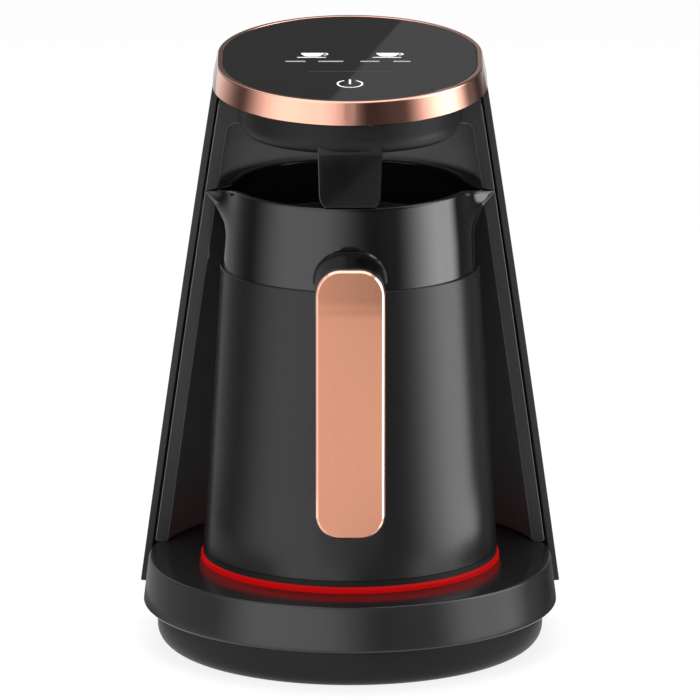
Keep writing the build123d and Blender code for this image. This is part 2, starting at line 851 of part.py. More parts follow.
def trim_ring():
    outer = head_slab(trim_foot_radius, 0, trim_height, trim_top_radius)
    hollow = head_slab(trim_foot_radius - trim_wall, -through, glass_z - trim_shelf_height)
    seat = head_slab(glass_radius, glass_z, trim_height + through)
    way = head_slab(glass_radius - trim_shelf, -through, trim_height)
    return outer - hollow - seat - way


def glass_panel():
    return head_slab(glass_radius - fit_gap, glass_z, glass_z + glass_thickness)


def touch_board():
    return head_slab(touch_board_radius, cover_flange, cover_board_z)


def touch_places():
    return [(-icon_spacing / 2, icon_y), (icon_spacing / 2, icon_y), (0.0, power_y)]


def display_mask():
    mask = head_slab(touch_board_radius, cover_board_z, glass_z)
    for x, y in touch_places():
        mask -= head_place * disc(well_radius, cover_board_z - through, glass_z + through, x, y)
    return mask


def display_lamps():
    top = cover_board_z + icon_lamp_height
    lamps = []
    for x, y in touch_places():
        for side in (-1, 1):
            middle = x + side * (touch_spring_radius + well_radius + touch_spring_wire) / 2
            lamps.append(head_place * block(icon_lamp_width, icon_lamp_width, cover_board_z, top, middle, y))
    return joined(lamps)


def touch_springs():
    spring = coil(touch_spring_radius, touch_spring_wire, cover_board_z, glass_z, touch_spring_turns)
    return joined(head_place * Pos(x, y, 0) * spring for x, y in touch_places())


def buzzer():
    x, y = buzzer_place
    low = cover_flange - buzzer_height
    body = disc(buzzer_radius, low, cover_flange, x, y)
    return head_place * (body - disc(buzzer_port_radius, low - through, low + buzzer_port_depth, x, y))


# ---------------------------------------------------------------- foam sensor arm
def arm_z():
    return rim_z + arm_clearance


def arm_outline(grow):
    """Front view of the arm: it narrows downwards, and its rounded foot is cut off level."""
    low, high = arm_z() - grow, chin_z + chin_round
    half_top, half_foot = arm_top_width / 2 + grow, arm_foot_width / 2 + grow
    foot = low - arm_corner_cut
    corners = [(-half_top, high), (-half_foot, foot), (half_foot, foot), (half_top, high)]
    face = make_face(Polyline(*corners, close=True))
    face = fillet(face.vertices().group_by(Axis.Y)[0], arm_corner + grow)
    return Plane.XZ * (face & Pos(0, (low + far) / 2) * Rectangle(far, far - low))


def sensor_arm():
    back = arm_front_y + arm_depth
    whole = Pos(0, back, 0) * extrude(arm_outline(0), arm_depth)
    hollow = Pos(0, back - arm_wall, 0) * extrude(arm_outline(-arm_wall), arm_depth - 2 * arm_wall)
    arm = whole - (hollow & block(far, far, 0, chin_z - arm_wall)) - chin_form()
    arm -= block(window_width, window_depth, 0, arm_z() + arm_wall + through, 0, arm_middle_y())
    return arm - arm_slot()


def arm_slot():
    """Slot from the arm through the chin's floor for the sensor's wires."""
    return block(arm_slot_width, arm_slot_depth, arm_z() + arm_slot_lift, chin_z + chin_floor + through,
                 0, arm_middle_y())


def arm_middle_y():
    return arm_front_y + arm_depth / 2


def sensor_window():
    width, depth = window_width - fit_gap, window_depth - fit_gap
    return block(width, depth, arm_z(), arm_z() + arm_wall, 0, arm_middle_y())


def sensor_diodes():
    low = arm_z() + arm_wall
    return joined(disc(diode_radius, low, low + diode_height, side * diode_spacing / 2, arm_middle_y())
                  for side in (-1, 1))


def sensor_board():
    low = arm_z() + arm_wall + diode_height
    high = low + sensor_board_thickness
    return block(window_width, sensor_board_width, low, high, 0, arm_middle_y())


# ---------------------------------------------------------------- jug
def collar_radius(z):
    if z < knee_z:
        return collar_foot_radius + (collar_knee_radius - collar_foot_radius) * (z - sleeve_top_z) / (
            knee_z - sleeve_top_z)
    return collar_knee_radius + (jug_rim_radius - collar_knee_radius) * (z - knee_z) / (rim_z - knee_z)


def sleeve_radius(z):
    return jug_foot_radius + (sleeve_top_radius - jug_foot_radius) * (z - cap_top_z) / (
        sleeve_top_z - cap_top_z)


def collar_filled():
    """Outer form of the collar with its two spouts, with no hollow."""
    skirt = sleeve_radius(sleeve_top_z) - sleeve_wall - seam_gap
    body = turned([
        (0, sleeve_top_z - collar_skirt), (skirt, sleeve_top_z - collar_skirt), (skirt, sleeve_top_z),
        (collar_radius(sleeve_top_z), sleeve_top_z), (collar_knee_radius, knee_z),
        (jug_rim_radius, rim_z), (0, rim_z),
    ])
    spout = loft([spout_root(0, spout_z), spout_top(0)], ruled=True) & disc(far, 0, rim_z)
    return body + spout + Rot(0, 0, 180) * spout


def beak(tip, half_width, inset):
    """Level section of the +X spout: a wedge with a rounded point, its sides moved in by the inset."""
    inside = vessel_radius - spout_overlap
    half_angle = atan2(half_width, tip - inside)
    point = tip - inset / sin(half_angle)
    side = half_width - inset / cos(half_angle)
    face = make_face(Polyline((inside, -side), (point, 0), (inside, side), close=True))
    return fillet(face.vertices().sort_by(Axis.X)[-1], spout_tip_round)


def spout_root(inset, z):
    return Pos(0, 0, z) * beak(collar_radius(spout_z) + spout_tip_round, spout_root_half_width, inset)


def spout_top(inset):
    """Upper section of the +X spout, which droops outwards from the rim."""
    droop = degrees(atan2(spout_droop, spout_tip - jug_rim_radius))
    hinge = Pos(jug_rim_radius, 0, rim_z) * Rot(0, droop, 0) * Pos(-jug_rim_radius, 0, 0)
    return hinge * beak(spout_tip, spout_half_width, inset)


def spout_channel():
    top = spout_top(spout_wall)
    channel = loft([spout_root(spout_wall, spout_z + spout_floor_rise), top], ruled=True)
    return channel + extrude(top, through, dir=(0, 0, 1))


def pot_collar():
    inner_skirt = vessel_radius + vessel_wall + part_gap
    collar = collar_filled() - disc(vessel_radius, spout_z - through, rim_z + through)
    collar -= disc(inner_skirt, 0, spout_z)
    for x in handle_screw_places():
        collar -= rod_y(screw_radius + fit_gap, -far, 0, x, handle_screw_z())
        collar -= rod_y(screw_head_radius + fit_gap, -inner_skirt - handle_screw_head, 0, x, handle_screw_z())
    return collar - spout_channel() - Rot(0, 0, 180) * spout_channel()


def pot_sleeve():
    return turned([
        (sleeve_radius(cap_top_z) - sleeve_wall, cap_top_z),
        (sleeve_radius(cap_top_z), cap_top_z),
        (sleeve_radius(sleeve_top_z - sleeve_chamfer), sleeve_top_z - sleeve_chamfer),
        (sleeve_top_radius - sleeve_chamfer, sleeve_top_z),
        (sleeve_top_radius - sleeve_wall, sleeve_top_z),
    ])


def pot_base_cap():
    """Ring that closes the jug's foot, with a lip inside the sleeve and three screw posts."""
    lip = sleeve_radius(cap_top_z) - sleeve_wall - seam_gap
    cap = ring(jug_foot_radius, vessel_radius + cap_margin, seat_z, cap_top_z)
    cap += ring(lip, lip - cap_lip_wall, cap_top_z, cap_top_z + cap_lip_height)
    for x, y in cap_screw_places():
        cap += disc(cap_post_radius, cap_top_z, lug_z, x, y)
        cap -= disc(screw_radius + fit_gap, 0, far, x, y)
        cap -= disc(screw_head_radius + part_gap, 0, cap_screw_seat(), x, y)
    return cap


def cap_screw_places():
    return around(cap_screw_circle, even_angles(cap_screw_count))


def cap_screw_seat():
    return seat_z + cap_screw_recess + cap_screw_head


def pot_base_screws():
    seat = cap_screw_seat()
    return joined(disc(screw_head_radius, seat - cap_screw_head, seat, x, y)
                  + disc(screw_radius, seat, seat + cap_screw_length, x, y) for x, y in cap_screw_places())


def pot_vessel():
    """Deep-drawn vessel with three lugs that take the screws from below."""
    outer = disc(vessel_radius + vessel_wall, vessel_z, vessel_top_z)
    outer = fillet(outer.edges().sort_by(Axis.Z)[0], vessel_round)
    inner = disc(vessel_radius, vessel_z + vessel_wall, vessel_top_z + through)
    inner = fillet(inner.edges().sort_by(Axis.Z)[0], vessel_round - vessel_wall)
    vessel = outer - inner
    reach = cap_screw_circle - vessel_radius
    for x, y in cap_screw_places():
        bridge = block(reach, lug_width, lug_z, lug_z + lug_thickness, vessel_radius + reach / 2, 0)
        lug = disc(lug_radius, lug_z, lug_z + lug_thickness, x, y) + Rot(0, 0, degrees(atan2(y, x))) * bridge
        vessel += lug - outer - disc(screw_radius + fit_gap, 0, far, x, y)
    return vessel


def pot_seal():
    outer = vessel_radius + vessel_wall + part_gap - fit_gap
    return ring(outer, vessel_radius, vessel_top_z, spout_z)


def pot_heat_disc():
    return disc(heat_disc_radius, seat_z, vessel_z)


# ---------------------------------------------------------------- handle
def handle_screw_z():
    return grip_top_z - neck_depth / 2


def handle_screw_places():
    return (-handle_screw_spacing / 2, handle_screw_spacing / 2)


def grip_front_line(setback):
    """Front of the handle as (y, z) corners, moved back by a distance."""
    y = grip_front_y + setback
    return [(y, grip_foot_z), (y, grip_top_z - grip_lean_height), (y + grip_lean, grip_top_z)]


def grip_prism(grow):
    """Front view of the grip, a tall rounded rectangle, as a prism along Y."""
    height = grip_top_z - grip_foot_z + 2 * grow
    face = Plane.XZ * Pos(0, (grip_top_z + grip_foot_z) / 2) * RectangleRounded(
        grip_width + 2 * grow, height, grip_corner + grow)
    return extrude(face, far, both=True)


def neck_low():
    return grip_top_z - neck_depth


def neck_section(y, width, high, corner):
    """Upright section of the neck: an arch with a flat foot."""
    height = high - neck_low()
    arch = RectangleRounded(width, 2 * height, corner) & (Pos(0, height / 2) * Rectangle(2 * width, height))
    return Plane(origin=(0, y, neck_low()), x_dir=(1, 0, 0), z_dir=(0, -1, 0)) * arch


def neck_form():
    """Neck from the grip to the jug's collar, wider at its root."""
    start = neck_section(grip_back_y - neck_overlap, grip_width - 2 * neck_setback,
                         grip_top_z - neck_setback, grip_corner)
    end = neck_section(-vessel_radius - neck_overlap, neck_root_width, grip_top_z, neck_root_corner)
    return loft([start, end], ruled=True)


def web_form():
    """Hollow corner between the grip and the underside of the neck."""
    y, z = grip_back_y - neck_overlap, neck_low() + neck_overlap
    corner = side_prism([(y, z), (grip_back_y + web_radius, z), (y, neck_low() - web_radius)], web_width / 2)
    hollow = Pos(0, grip_back_y + web_radius, neck_low() - web_radius) * Rot(0, 90, 0) * Cylinder(
        web_radius, far)
    return corner - hollow


def handle_grip():
    front = grip_front_line(face_plate_thickness)
    grip = side_prism(front + [(grip_back_y, grip_top_z), (grip_back_y, grip_foot_z)], grip_width)
    handle = (grip & grip_prism(0)) + neck_form() + web_form() - collar_filled()
    low_y = -collar_radius(handle_screw_z()) - handle_screw_length + collar_wall
    for x in handle_screw_places():
        handle -= rod_y(screw_radius + fit_gap, low_y, 0, x, handle_screw_z())
    return handle


def handle_plate():
    front = grip_front_line(0)
    back = grip_front_line(face_plate_thickness)
    return side_prism(front + back[::-1], grip_width) & grip_prism(-face_plate_margin)


def handle_screws():
    """Screws from inside the collar into the neck, with heads that follow the collar's bore."""
    wall_y = -(vessel_radius + vessel_wall + part_gap)
    screws = []
    for x in handle_screw_places():
        shank = rod_y(screw_radius, wall_y - handle_screw_length, wall_y, x, handle_screw_z())
        head = rod_y(screw_head_radius, wall_y - handle_screw_head, 0, x, handle_screw_z())
        screws.append(shank + head - disc(-wall_y, 0, far))
    return joined(screws)


# ---------------------------------------------------------------- files
SUB_PARTS = [
    rubber_feet, base_lower_shell, base_screws, base_upper_shell, light_ring, led_ring_board,
    ring_lamps, plate_carrier, carrier_screws, hot_plate, plate_seal, heating_element,
    thermal_cutout, thermal_fuse, probe_cap, probe_thermistor, probe_spring, power_board, relay,
    supply_module, capacitor, terminal_block, cord_gland, cord_clamp, rear_shell, niche_liner,
    shell_screws, wire_harness, harness_clips, head_cover, head_screws, trim_ring, glass_panel,
    touch_board, display_mask, display_lamps, touch_springs, buzzer, sensor_arm, sensor_window,
    sensor_diodes, sensor_board, pot_collar, pot_sleeve, pot_base_cap, pot_base_screws,
    pot_vessel, pot_seal, pot_heat_disc, handle_grip, handle_plate, handle_screws,
]

os.makedirs("parts", exist_ok=True)
for make in SUB_PARTS:
    export_step(make(), f"parts/{make.__name__}.step")
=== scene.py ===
"""Looks of an electric Turkish coffee maker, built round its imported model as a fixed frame."""

import json
from math import atan2, cos, pi, radians, sin, sqrt

import bpy
from bpy.props import FloatProperty, FloatVectorProperty, IntProperty, PointerProperty
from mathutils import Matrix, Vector


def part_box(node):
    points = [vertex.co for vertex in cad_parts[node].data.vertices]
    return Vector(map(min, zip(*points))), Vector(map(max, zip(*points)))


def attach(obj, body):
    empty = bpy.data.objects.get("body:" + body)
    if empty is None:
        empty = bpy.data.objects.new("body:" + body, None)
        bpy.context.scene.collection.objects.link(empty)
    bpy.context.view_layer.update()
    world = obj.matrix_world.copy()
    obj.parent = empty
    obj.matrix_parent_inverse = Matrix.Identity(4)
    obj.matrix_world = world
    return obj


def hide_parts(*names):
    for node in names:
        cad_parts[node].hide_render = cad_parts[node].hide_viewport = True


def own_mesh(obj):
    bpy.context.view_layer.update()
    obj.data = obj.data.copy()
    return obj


bl_info = {
    "name": "Turkish coffee maker",
    "version": (1, 0, 0),
    "blender": (4, 5, 0),
    "location": "3D View > Sidebar > Coffee maker",
    "description": "Models and finishes the pieces of an electric Turkish coffee maker",
    "category": "Add Mesh",
}

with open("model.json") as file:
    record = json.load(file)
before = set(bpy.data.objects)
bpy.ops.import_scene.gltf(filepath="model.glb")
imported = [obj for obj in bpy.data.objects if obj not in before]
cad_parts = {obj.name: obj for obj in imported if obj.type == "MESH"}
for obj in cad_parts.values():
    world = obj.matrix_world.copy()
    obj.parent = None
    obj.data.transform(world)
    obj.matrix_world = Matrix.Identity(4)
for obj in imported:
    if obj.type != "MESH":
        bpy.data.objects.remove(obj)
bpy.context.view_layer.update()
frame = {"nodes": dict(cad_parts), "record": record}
MM = 0.001
MERGE = 0.002 * MM               # corners nearer than this become one
NEAR = 0.01 * MM                 # a corner nearer to a plane than this lies in it


# ------------------------------------------------------------------ measures taken from the frame
def low(node):
    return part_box(node)[0]


def high(node):
    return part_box(node)[1]


DECK = high("base_upper_shell").z
BAND_FOOT = DECK - 17.2 * MM
SHELL_FOOT = low("rear_shell").z
RIM = high("pot_collar").z
BORE = 43.6 * MM                 # inside radius of the jug's collar
COLLAR_KNEE = RIM - 20.5 * MM    # where the collar starts to narrow
KNEE_RADIUS = 47.5 * MM
RIM_RADIUS = 45.7 * MM
SLEEVE_TOP = high("pot_sleeve").z
FOOT_RADIUS = high("pot_sleeve").x
CAP_TOP = low("pot_sleeve").z
COLLAR_FOOT = low("pot_collar").z
GRIP_FRONT = low("handle_plate").y
PLATE_BACK = 1.6 * MM            # thickness of the handle's plate
GRIP_BACK = GRIP_FRONT + 12.0 * MM
GRIP_FOOT = low("handle_grip").z
GRIP_TOP = high("handle_grip").z
NECK_LOW = GRIP_TOP - 13.2 * MM
LEAN_HEIGHT = 14.0 * MM          # how much of the handle's front leans back
HEAD_TILT = radians(5.5)         # the panel's front edge is the lower one
HEAD_STRAIGHT = 14.4 * MM        # between the centres of the head's front and rear arcs
HEAD_CENTRE = Vector((0, -7.0 * MM, low("head_cover").z + 18.6 * MM))
GLASS_TOP = 8.8 * MM             # above the head's plane
FRONT_AT_DECK = Vector((0, 20.0 * MM, DECK))      # the back's sloping front edge
FRONT_AT_HEAD = Vector((0, 8.0 * MM, HEAD_CENTRE.z))


# ------------------------------------------------------------------ settings that a user would change
class CoffeeMakerSizes(bpy.types.PropertyGroup):
    segments: IntProperty(name="Segments", description="Faces round a turned piece", default=192, min=48)
    edge_round: FloatProperty(
        name="Edge rounding", description="Radius on the edges of moulded pieces",
        default=0.4 * MM, unit="LENGTH")
    collar_lip: FloatProperty(
        name="Rim rounding", description="Radius on the jug's rim",
        default=0.6 * MM, unit="LENGTH")
    spout_reach: FloatProperty(
        name="Spout reach", description="How far a spout stands out of the rim",
        default=9.5 * MM, unit="LENGTH")
    spout_droop: FloatProperty(
        name="Spout droop", description="How far a spout's tip hangs below the rim",
        default=3.0 * MM, unit="LENGTH")
    spout_span: FloatProperty(
        name="Spout span", description="Half of the arc that a spout is drawn out of",
        default=radians(26), subtype="ANGLE", unit="ROTATION")
    plate_chamfer: FloatProperty(
        name="Plate chamfer", description="Bright chamfer round the handle's plate",
        default=0.8 * MM, unit="LENGTH")
    mark_height: FloatProperty(
        name="Mark height", description="Thickness of the printed marks on the glass",
        default=0.03 * MM, unit="LENGTH")


class CoffeeMakerColours(bpy.types.PropertyGroup):
    moulded: FloatVectorProperty(
        name="Moulded black", description="Satin plastic of the housings",
        subtype="COLOR", size=4, default=(0.013, 0.013, 0.0135, 1))
    sleeve: FloatVectorProperty(
        name="Sleeve", description="Soft black coat of the jug's sleeve",
        subtype="COLOR", size=4, default=(0.010, 0.010, 0.0105, 1))
    housing: FloatVectorProperty(
        name="Matt housing", description="Matt plastic of the lower tier and the chin",
        subtype="COLOR", size=4, default=(0.009, 0.009, 0.0095, 1))
    liner: FloatVectorProperty(
        name="Back", description="Matt plastic of the back and of the flange round the bay",
        subtype="COLOR", size=4, default=(0.029, 0.029, 0.03, 1))
    # painted light: the bay's walls get a lighter copy of the back's matt black, standing for the light
    # that falls into the bay
    bay_wall: FloatVectorProperty(
        name="Bay wall", description="Lighter matt plastic of the bay's walls",
        subtype="COLOR", size=4, default=(0.195, 0.195, 0.2, 1))
    gloss: FloatVectorProperty(
        name="Gloss black", description="Polished plastic of the collar and the grip",
        subtype="COLOR", size=4, default=(0.004, 0.004, 0.0043, 1))
    copper: FloatVectorProperty(
        name="Rose gold", description="Plated trim",
        subtype="COLOR", size=4, default=(0.77, 0.365, 0.265, 1))
    cut_edge: FloatVectorProperty(
        name="Cut edge", description="Bright cut chamfer of the handle's plate",
        subtype="COLOR", size=4, default=(0.78, 0.44, 0.34, 1))
    plate: FloatVectorProperty(
        name="Handle plate", description="Satin rose gold of the handle's plate",
        subtype="COLOR", size=4, default=(0.70, 0.32, 0.205, 1))
    glow: FloatVectorProperty(
        name="Ring light", description="Lit ring round the hot plate",
        subtype="COLOR", size=4, default=(1.0, 0.002, 0.004, 1))
    marks: FloatVectorProperty(
        name="Panel marks", description="Printed marks on the glass",
        subtype="COLOR", size=4, default=(0.80, 0.79, 0.78, 1))


def sizes():
    return bpy.context.scene.coffee_maker_sizes


def colours():
    return bpy.context.scene.coffee_maker_colours


# ------------------------------------------------------------------ modelling steps
def fresh():
    """Leaves edit mode and deselects all, so that the next step acts on its own piece alone."""
    if bpy.context.object and bpy.context.object.mode != "OBJECT":
        bpy.ops.object.mode_set(mode="OBJECT")
    bpy.ops.object.select_all(action="DESELECT")


def activate(piece):
    fresh()
    piece.select_set(True)
    bpy.context.view_layer.objects.active = piece


def edit(piece, mode="FACE"):
    activate(piece)
    bpy.ops.object.mode_set(mode="EDIT")
    bpy.ops.mesh.select_mode(type=mode)


def edit_all(piece, mode="FACE"):
    """Enters edit mode with the whole piece selected."""
    edit(piece, mode)
    bpy.ops.mesh.select_all(action="SELECT")


def settle(piece):
    """Puts the piece's place into its mesh."""
    activate(piece)
    bpy.ops.object.transform_apply(location=True, rotation=True, scale=True)
    fresh()


def pick(piece, mode, test):
    """Selects the vertices, edges or faces that pass the test of their middle, and stays in edit mode."""
    edit(piece, {"vertices": "VERT", "edges": "EDGE", "polygons": "FACE"}[mode])
    bpy.ops.mesh.select_all(action="DESELECT")
    bpy.ops.object.mode_set(mode="OBJECT")
    points = piece.data.vertices
    for part in getattr(piece.data, mode):
        if mode == "vertices":
            middle = part.co
        else:
            middle = sum((points[i].co for i in part.vertices), Vector()) / len(part.vertices)
        part.select = test(middle, part)
    bpy.ops.object.mode_set(mode="EDIT")


def add_modifier(piece, kind, **settings):
    """Adds one modifier with its settings and applies it."""
    activate(piece)
    modifier = piece.modifiers.new(kind.title(), kind)
    for key, value in settings.items():
        setattr(modifier, key, value)
    bpy.ops.object.modifier_apply(modifier=modifier.name)
    fresh()


def round_edges(piece, width, angle=35, steps=3):
    add_modifier(piece, "BEVEL", width=width, segments=steps, limit_method="ANGLE",
                 angle_limit=radians(angle), use_clamp_overlap=False)


def face_outwards(piece):
    edit_all(piece)
    bpy.ops.mesh.remove_doubles(threshold=MERGE)
    bpy.ops.mesh.normals_make_consistent(inside=False)
    fresh()


def smooth(piece, angle=40):
    activate(piece)
    bpy.ops.object.shade_smooth_by_angle(angle=radians(angle))
    fresh()


def even_normals(piece, angle=30):
    """Shades a piece smooth, with its flat faces flat right up to their rounded edges."""
    smooth(piece, angle)
    add_modifier(piece, "WEIGHTED_NORMAL", keep_sharp=True, weight=100)


def join(pieces):
    """Makes one object of several, under the first one's name."""
    fresh()
    for piece in pieces:
        piece.select_set(True)
    bpy.context.view_layer.objects.active = pieces[0]
    bpy.ops.object.join()
    fresh()
    return pieces[0]


def unite(piece, others):
    """Adds other closed forms to a piece, and removes them."""
    for other in others:
        add_modifier(piece, "BOOLEAN", operation="UNION", object=other, solver="EXACT")
        bpy.data.objects.remove(other)


def turned(name, profile, closed=True):
    """Piece turned about Z: a circle at the profile's first corner, extruded and scaled to each next one.

    A closed profile comes back to its first corner. An open one starts and ends on the axis."""
    fresh()
    axis_radius = 0.01 * MM
    corners = [(max(radius, axis_radius), height) for radius, height in profile]
    radius, height = corners[0]
    bpy.ops.mesh.primitive_circle_add(vertices=sizes().segments, radius=radius, location=(0, 0, height))
    piece = bpy.context.object
    piece.name = name
    edit_all(piece, "EDGE")
    for next_radius, next_height in corners[1:] + ([corners[0]] if closed else []):
        bpy.ops.mesh.extrude_region_move(TRANSFORM_OT_translate={"value": (0, 0, next_height - height)})
        share = next_radius / radius
        bpy.ops.transform.resize(value=(share, share, 1))
        radius, height = next_radius, next_height
    settle(piece)
    if not closed:
        close_poles(piece)
    face_outwards(piece)
    return piece


def close_poles(piece):
    """Merges the two small end rings of an open profile into points on the axis."""
    near = 0.02 * MM
    ends = (min(v.co.z for v in piece.data.vertices), max(v.co.z for v in piece.data.vertices))
    for end in ends:
        pick(piece, "vertices", lambda p, _: Vector((p.x, p.y)).length < near and abs(p.z - end) < near)
        bpy.ops.mesh.merge(type="CENTER")
    fresh()


def arc(centre, radius, start, end, steps):
    """Points on an arc between two angles in degrees."""
    points = []
    for n in range(steps + 1):
        angle = radians(start + (end - start) * n / steps)
        points.append((centre[0] + radius * cos(angle), centre[1] + radius * sin(angle)))
    return points


def prism(name, outline, axis, start, end):
    """Prism of an outline, along X from (y, z) corners, along Y from (x, z) or along Z from (x, y)."""
    fresh()
    bpy.ops.mesh.primitive_circle_add(vertices=len(outline), radius=MM, fill_type="NGON")
    piece = bpy.context.object
    piece.name = name
    along = "XYZ".index(axis)
    for vertex, corner in zip(piece.data.vertices, outline):
        spot = list(corner)
        spot.insert(along, start)
        vertex.co = spot
    move = [0, 0, 0]
    move[along] = end - start
    edit_all(piece)
    bpy.ops.mesh.extrude_region_move(TRANSFORM_OT_translate={"value": move})
    settle(piece)
    face_outwards(piece)
    return piece


def rounded_rectangle(half_width, foot, top, corner, steps=16):
    """Corners of an upright rectangle with rounded corners."""
    points = []
    right, upper, lower = half_width - corner, top - corner, foot + corner
    for x, z, start in ((right, upper, 0), (-right, upper, 90), (-right, lower, 180), (right, lower, 270)):
        points += arc((x, z), corner, start, start + 90, steps)
    return points


def cut_rows(piece, axis, cuts):
    """Cuts rows of edges across a piece, so that it can bend there."""
    along = "XYZ".index(axis)
    for cut in cuts:
        spot, normal = [0, 0, 0], [0, 0, 0]
        spot[along], normal[along] = cut, 1
        edit_all(piece)
        bpy.ops.mesh.bisect(plane_co=spot, plane_no=normal)
    fresh()


def frame_copy(name, node, whole_faces=False):
    """Copy of a frame piece with its corners merged, and its flat faces made whole where asked."""
    fresh()
    piece = bpy.data.objects.new(name, frame["nodes"][node].data.copy())
    bpy.context.scene.collection.objects.link(piece)
    edit_all(piece)
    bpy.ops.mesh.remove_doubles(threshold=MERGE)
    if whole_faces:
        bpy.ops.mesh.dissolve_limited(angle_limit=radians(0.4))
    activate(piece)
    bpy.ops.mesh.customdata_custom_splitnormals_clear()
    return piece


def from_frame(name, node, rounding, angle=32, steps=2):
    """Copy of a frame piece with its flat faces made whole and its edges rounded."""
    piece = frame_copy(name, node, whole_faces=True)
    round_edges(piece, rounding, angle, steps)
    even_normals(piece)
    return piece


def stretch_back(piece, straight, middle=0.0):
    """Moves the rear half of a round piece back, which leaves a straight length between its halves."""
    pick(piece, "vertices", lambda p, _: p.y > middle + 0.001 * MM)
    bpy.ops.transform.translate(value=(0, straight, 0))
    fresh()


def tilt_to_head(piece):
    piece.location = HEAD_CENTRE
    piece.rotation_euler = (HEAD_TILT, 0, 0)
    settle(piece)


def bevel_edges_at(piece, depth, width, steps):
    """Bevels the edges that lie in a plane square to Y."""
    pick(piece, "edges", lambda _, edge: all(
        abs(piece.data.vertices[i].co.y - depth) < NEAR for i in edge.vertices))
    bpy.ops.mesh.bevel(offset=width, segments=steps, affect="EDGES", offset_type="OFFSET")
    fresh()


def place(piece, body, finish, replaces=()):
    """Gives a finished piece its finish, and ties it to the frame."""
    piece.data.materials.clear()
    piece.data.materials.append(FINISH[finish])
    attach(piece, body)
    if replaces:
        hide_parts(*replaces)


def finish_faces(piece, finish, test):
    """Gives a second finish to the faces of a piece that pass a test."""
    piece.data.materials.append(FINISH[finish])
    for face in piece.data.polygons:
        face.material_index = 1 if test(face) else 0


# ------------------------------------------------------------------ finishes
def new_material(name):
    material = bpy.data.materials.new(name)
    material.use_nodes = True
    tree = material.node_tree
    shader = tree.nodes["Principled BSDF"]
    coordinates = tree.nodes.new("ShaderNodeTexCoord")
    return material, tree, shader, coordinates.outputs["Object"]


def set_inputs(node, values):
    for name, value in values.items():
        node.inputs[name].default_value = value


def add_node(tree, kind, values, vector=None):
    """Adds a shader node with the values of its inputs, and feeds it a vector where one is given."""
    node = tree.nodes.new(kind)
    set_inputs(node, values)
    if vector is not None:
        tree.links.new(vector, node.inputs["Vector"])
    return node


def noise(tree, vector, scale, detail=3.0, stretch=None):
    """Noise in object space, stretched along one axis where a finish is drawn or brushed."""
    if stretch:
        vector = add_node(tree, "ShaderNodeMapping", {"Scale": stretch}, vector).outputs["Vector"]
    return add_node(tree, "ShaderNodeTexNoise", {"Scale": scale, "Detail": detail}, vector).outputs["Fac"]


def spread(tree, factor, start, end, target):
    """Maps a pattern's usual range to another, and drives a socket with it."""
    ranged = add_node(tree, "ShaderNodeMapRange",
                      {"From Min": 0.3, "From Max": 0.7, "To Min": start, "To Max": end})
    tree.links.new(factor, ranged.inputs["Value"])
    tree.links.new(ranged.outputs["Result"], target)


def tint(tree, factor, colour, change, target):
    """Varies a colour's brightness by a small share with a pattern."""
    blend = tree.nodes.new("ShaderNodeMix")
    blend.data_type = "RGBA"
    darker = [c * (1 - change) for c in colour[:3]] + [1]
    lighter = [min(1, c * (1 + change)) for c in colour[:3]] + [1]
    set_inputs(blend, {"A": darker, "B": lighter})
    tree.links.new(factor, blend.inputs["Factor"])
    tree.links.new(blend.outputs["Result"], target)


def bump(tree, height, strength, distance, shader):
    node = add_node(tree, "ShaderNodeBump", {"Strength": strength, "Distance": distance})
    tree.links.new(height, node.inputs["Height"])
    tree.links.new(node.outputs["Normal"], shader.inputs["Normal"])


def moulded(name, colour, roughness=0.42, grain=2600, depth=0.02, change=0.06, specular=0.5):
    """Fine spark-eroded grain of a moulded plastic, with slightly uneven sheen."""
    material, tree, shader, where = new_material(name)
    shader.inputs["Specular IOR Level"].default_value = specular
    fine = noise(tree, where, grain, 2)
    cloudy = noise(tree, where, 45, 3)
    tint(tree, cloudy, colour, change, shader.inputs["Base Color"])
    spread(tree, fine, roughness - 0.05, roughness + 0.05, shader.inputs["Roughness"])
    bump(tree, fine, 0.25, depth * MM, shader)
    return material


def polished(name, colour, roughness=0.07, specular=0.5):
    """Gloss plastic or glass, with faint wiping marks in the gloss."""
    material, tree, shader, where = new_material(name)
    shader.inputs["Specular IOR Level"].default_value = specular
    wiped = noise(tree, where, 120, 4, (1, 1, 0.25))
    tint(tree, wiped, colour, 0.08, shader.inputs["Base Color"])
    spread(tree, wiped, roughness * 0.8, roughness * 1.3, shader.inputs["Roughness"])
    return material


def metal(name, colour, roughness, brush=(1, 1, 0.02), scale=1800, depth=0.01, uneven=0.06, lacquer=0.0):
    """Metal drawn or brushed along one direction, with or without a clear lacquer."""
    material, tree, shader, where = new_material(name)
    set_inputs(shader, {"Metallic": 1.0, "Coat Weight": lacquer, "Coat Roughness": 0.05})
    lines = noise(tree, where, scale, 3, brush)
    cloudy = noise(tree, where, 30, 2)
    tint(tree, cloudy, colour, 0.03, shader.inputs["Base Color"])
    spread(tree, lines, roughness - uneven, roughness + uneven, shader.inputs["Roughness"])
    bump(tree, lines, 0.2, depth * MM, shader)
    return material


def lathed(name, colour, roughness):
    """Face-turned surface: fine rings about Z."""
    material, tree, shader, where = new_material(name)
    set_inputs(shader, {"Metallic": 1.0})
    rings = add_node(tree, "ShaderNodeTexWave", {"Scale": 550, "Distortion": 0.4}, where)
    rings.wave_type = "RINGS"
    rings.rings_direction = "Z"
    cloudy = noise(tree, where, 60, 3)
    tint(tree, cloudy, colour, 0.05, shader.inputs["Base Color"])
    spread(tree, cloudy, roughness - 0.05, roughness + 0.06, shader.inputs["Roughness"])
    bump(tree, rings.outputs["Fac"], 0.12, 0.02 * MM, shader)
    return material


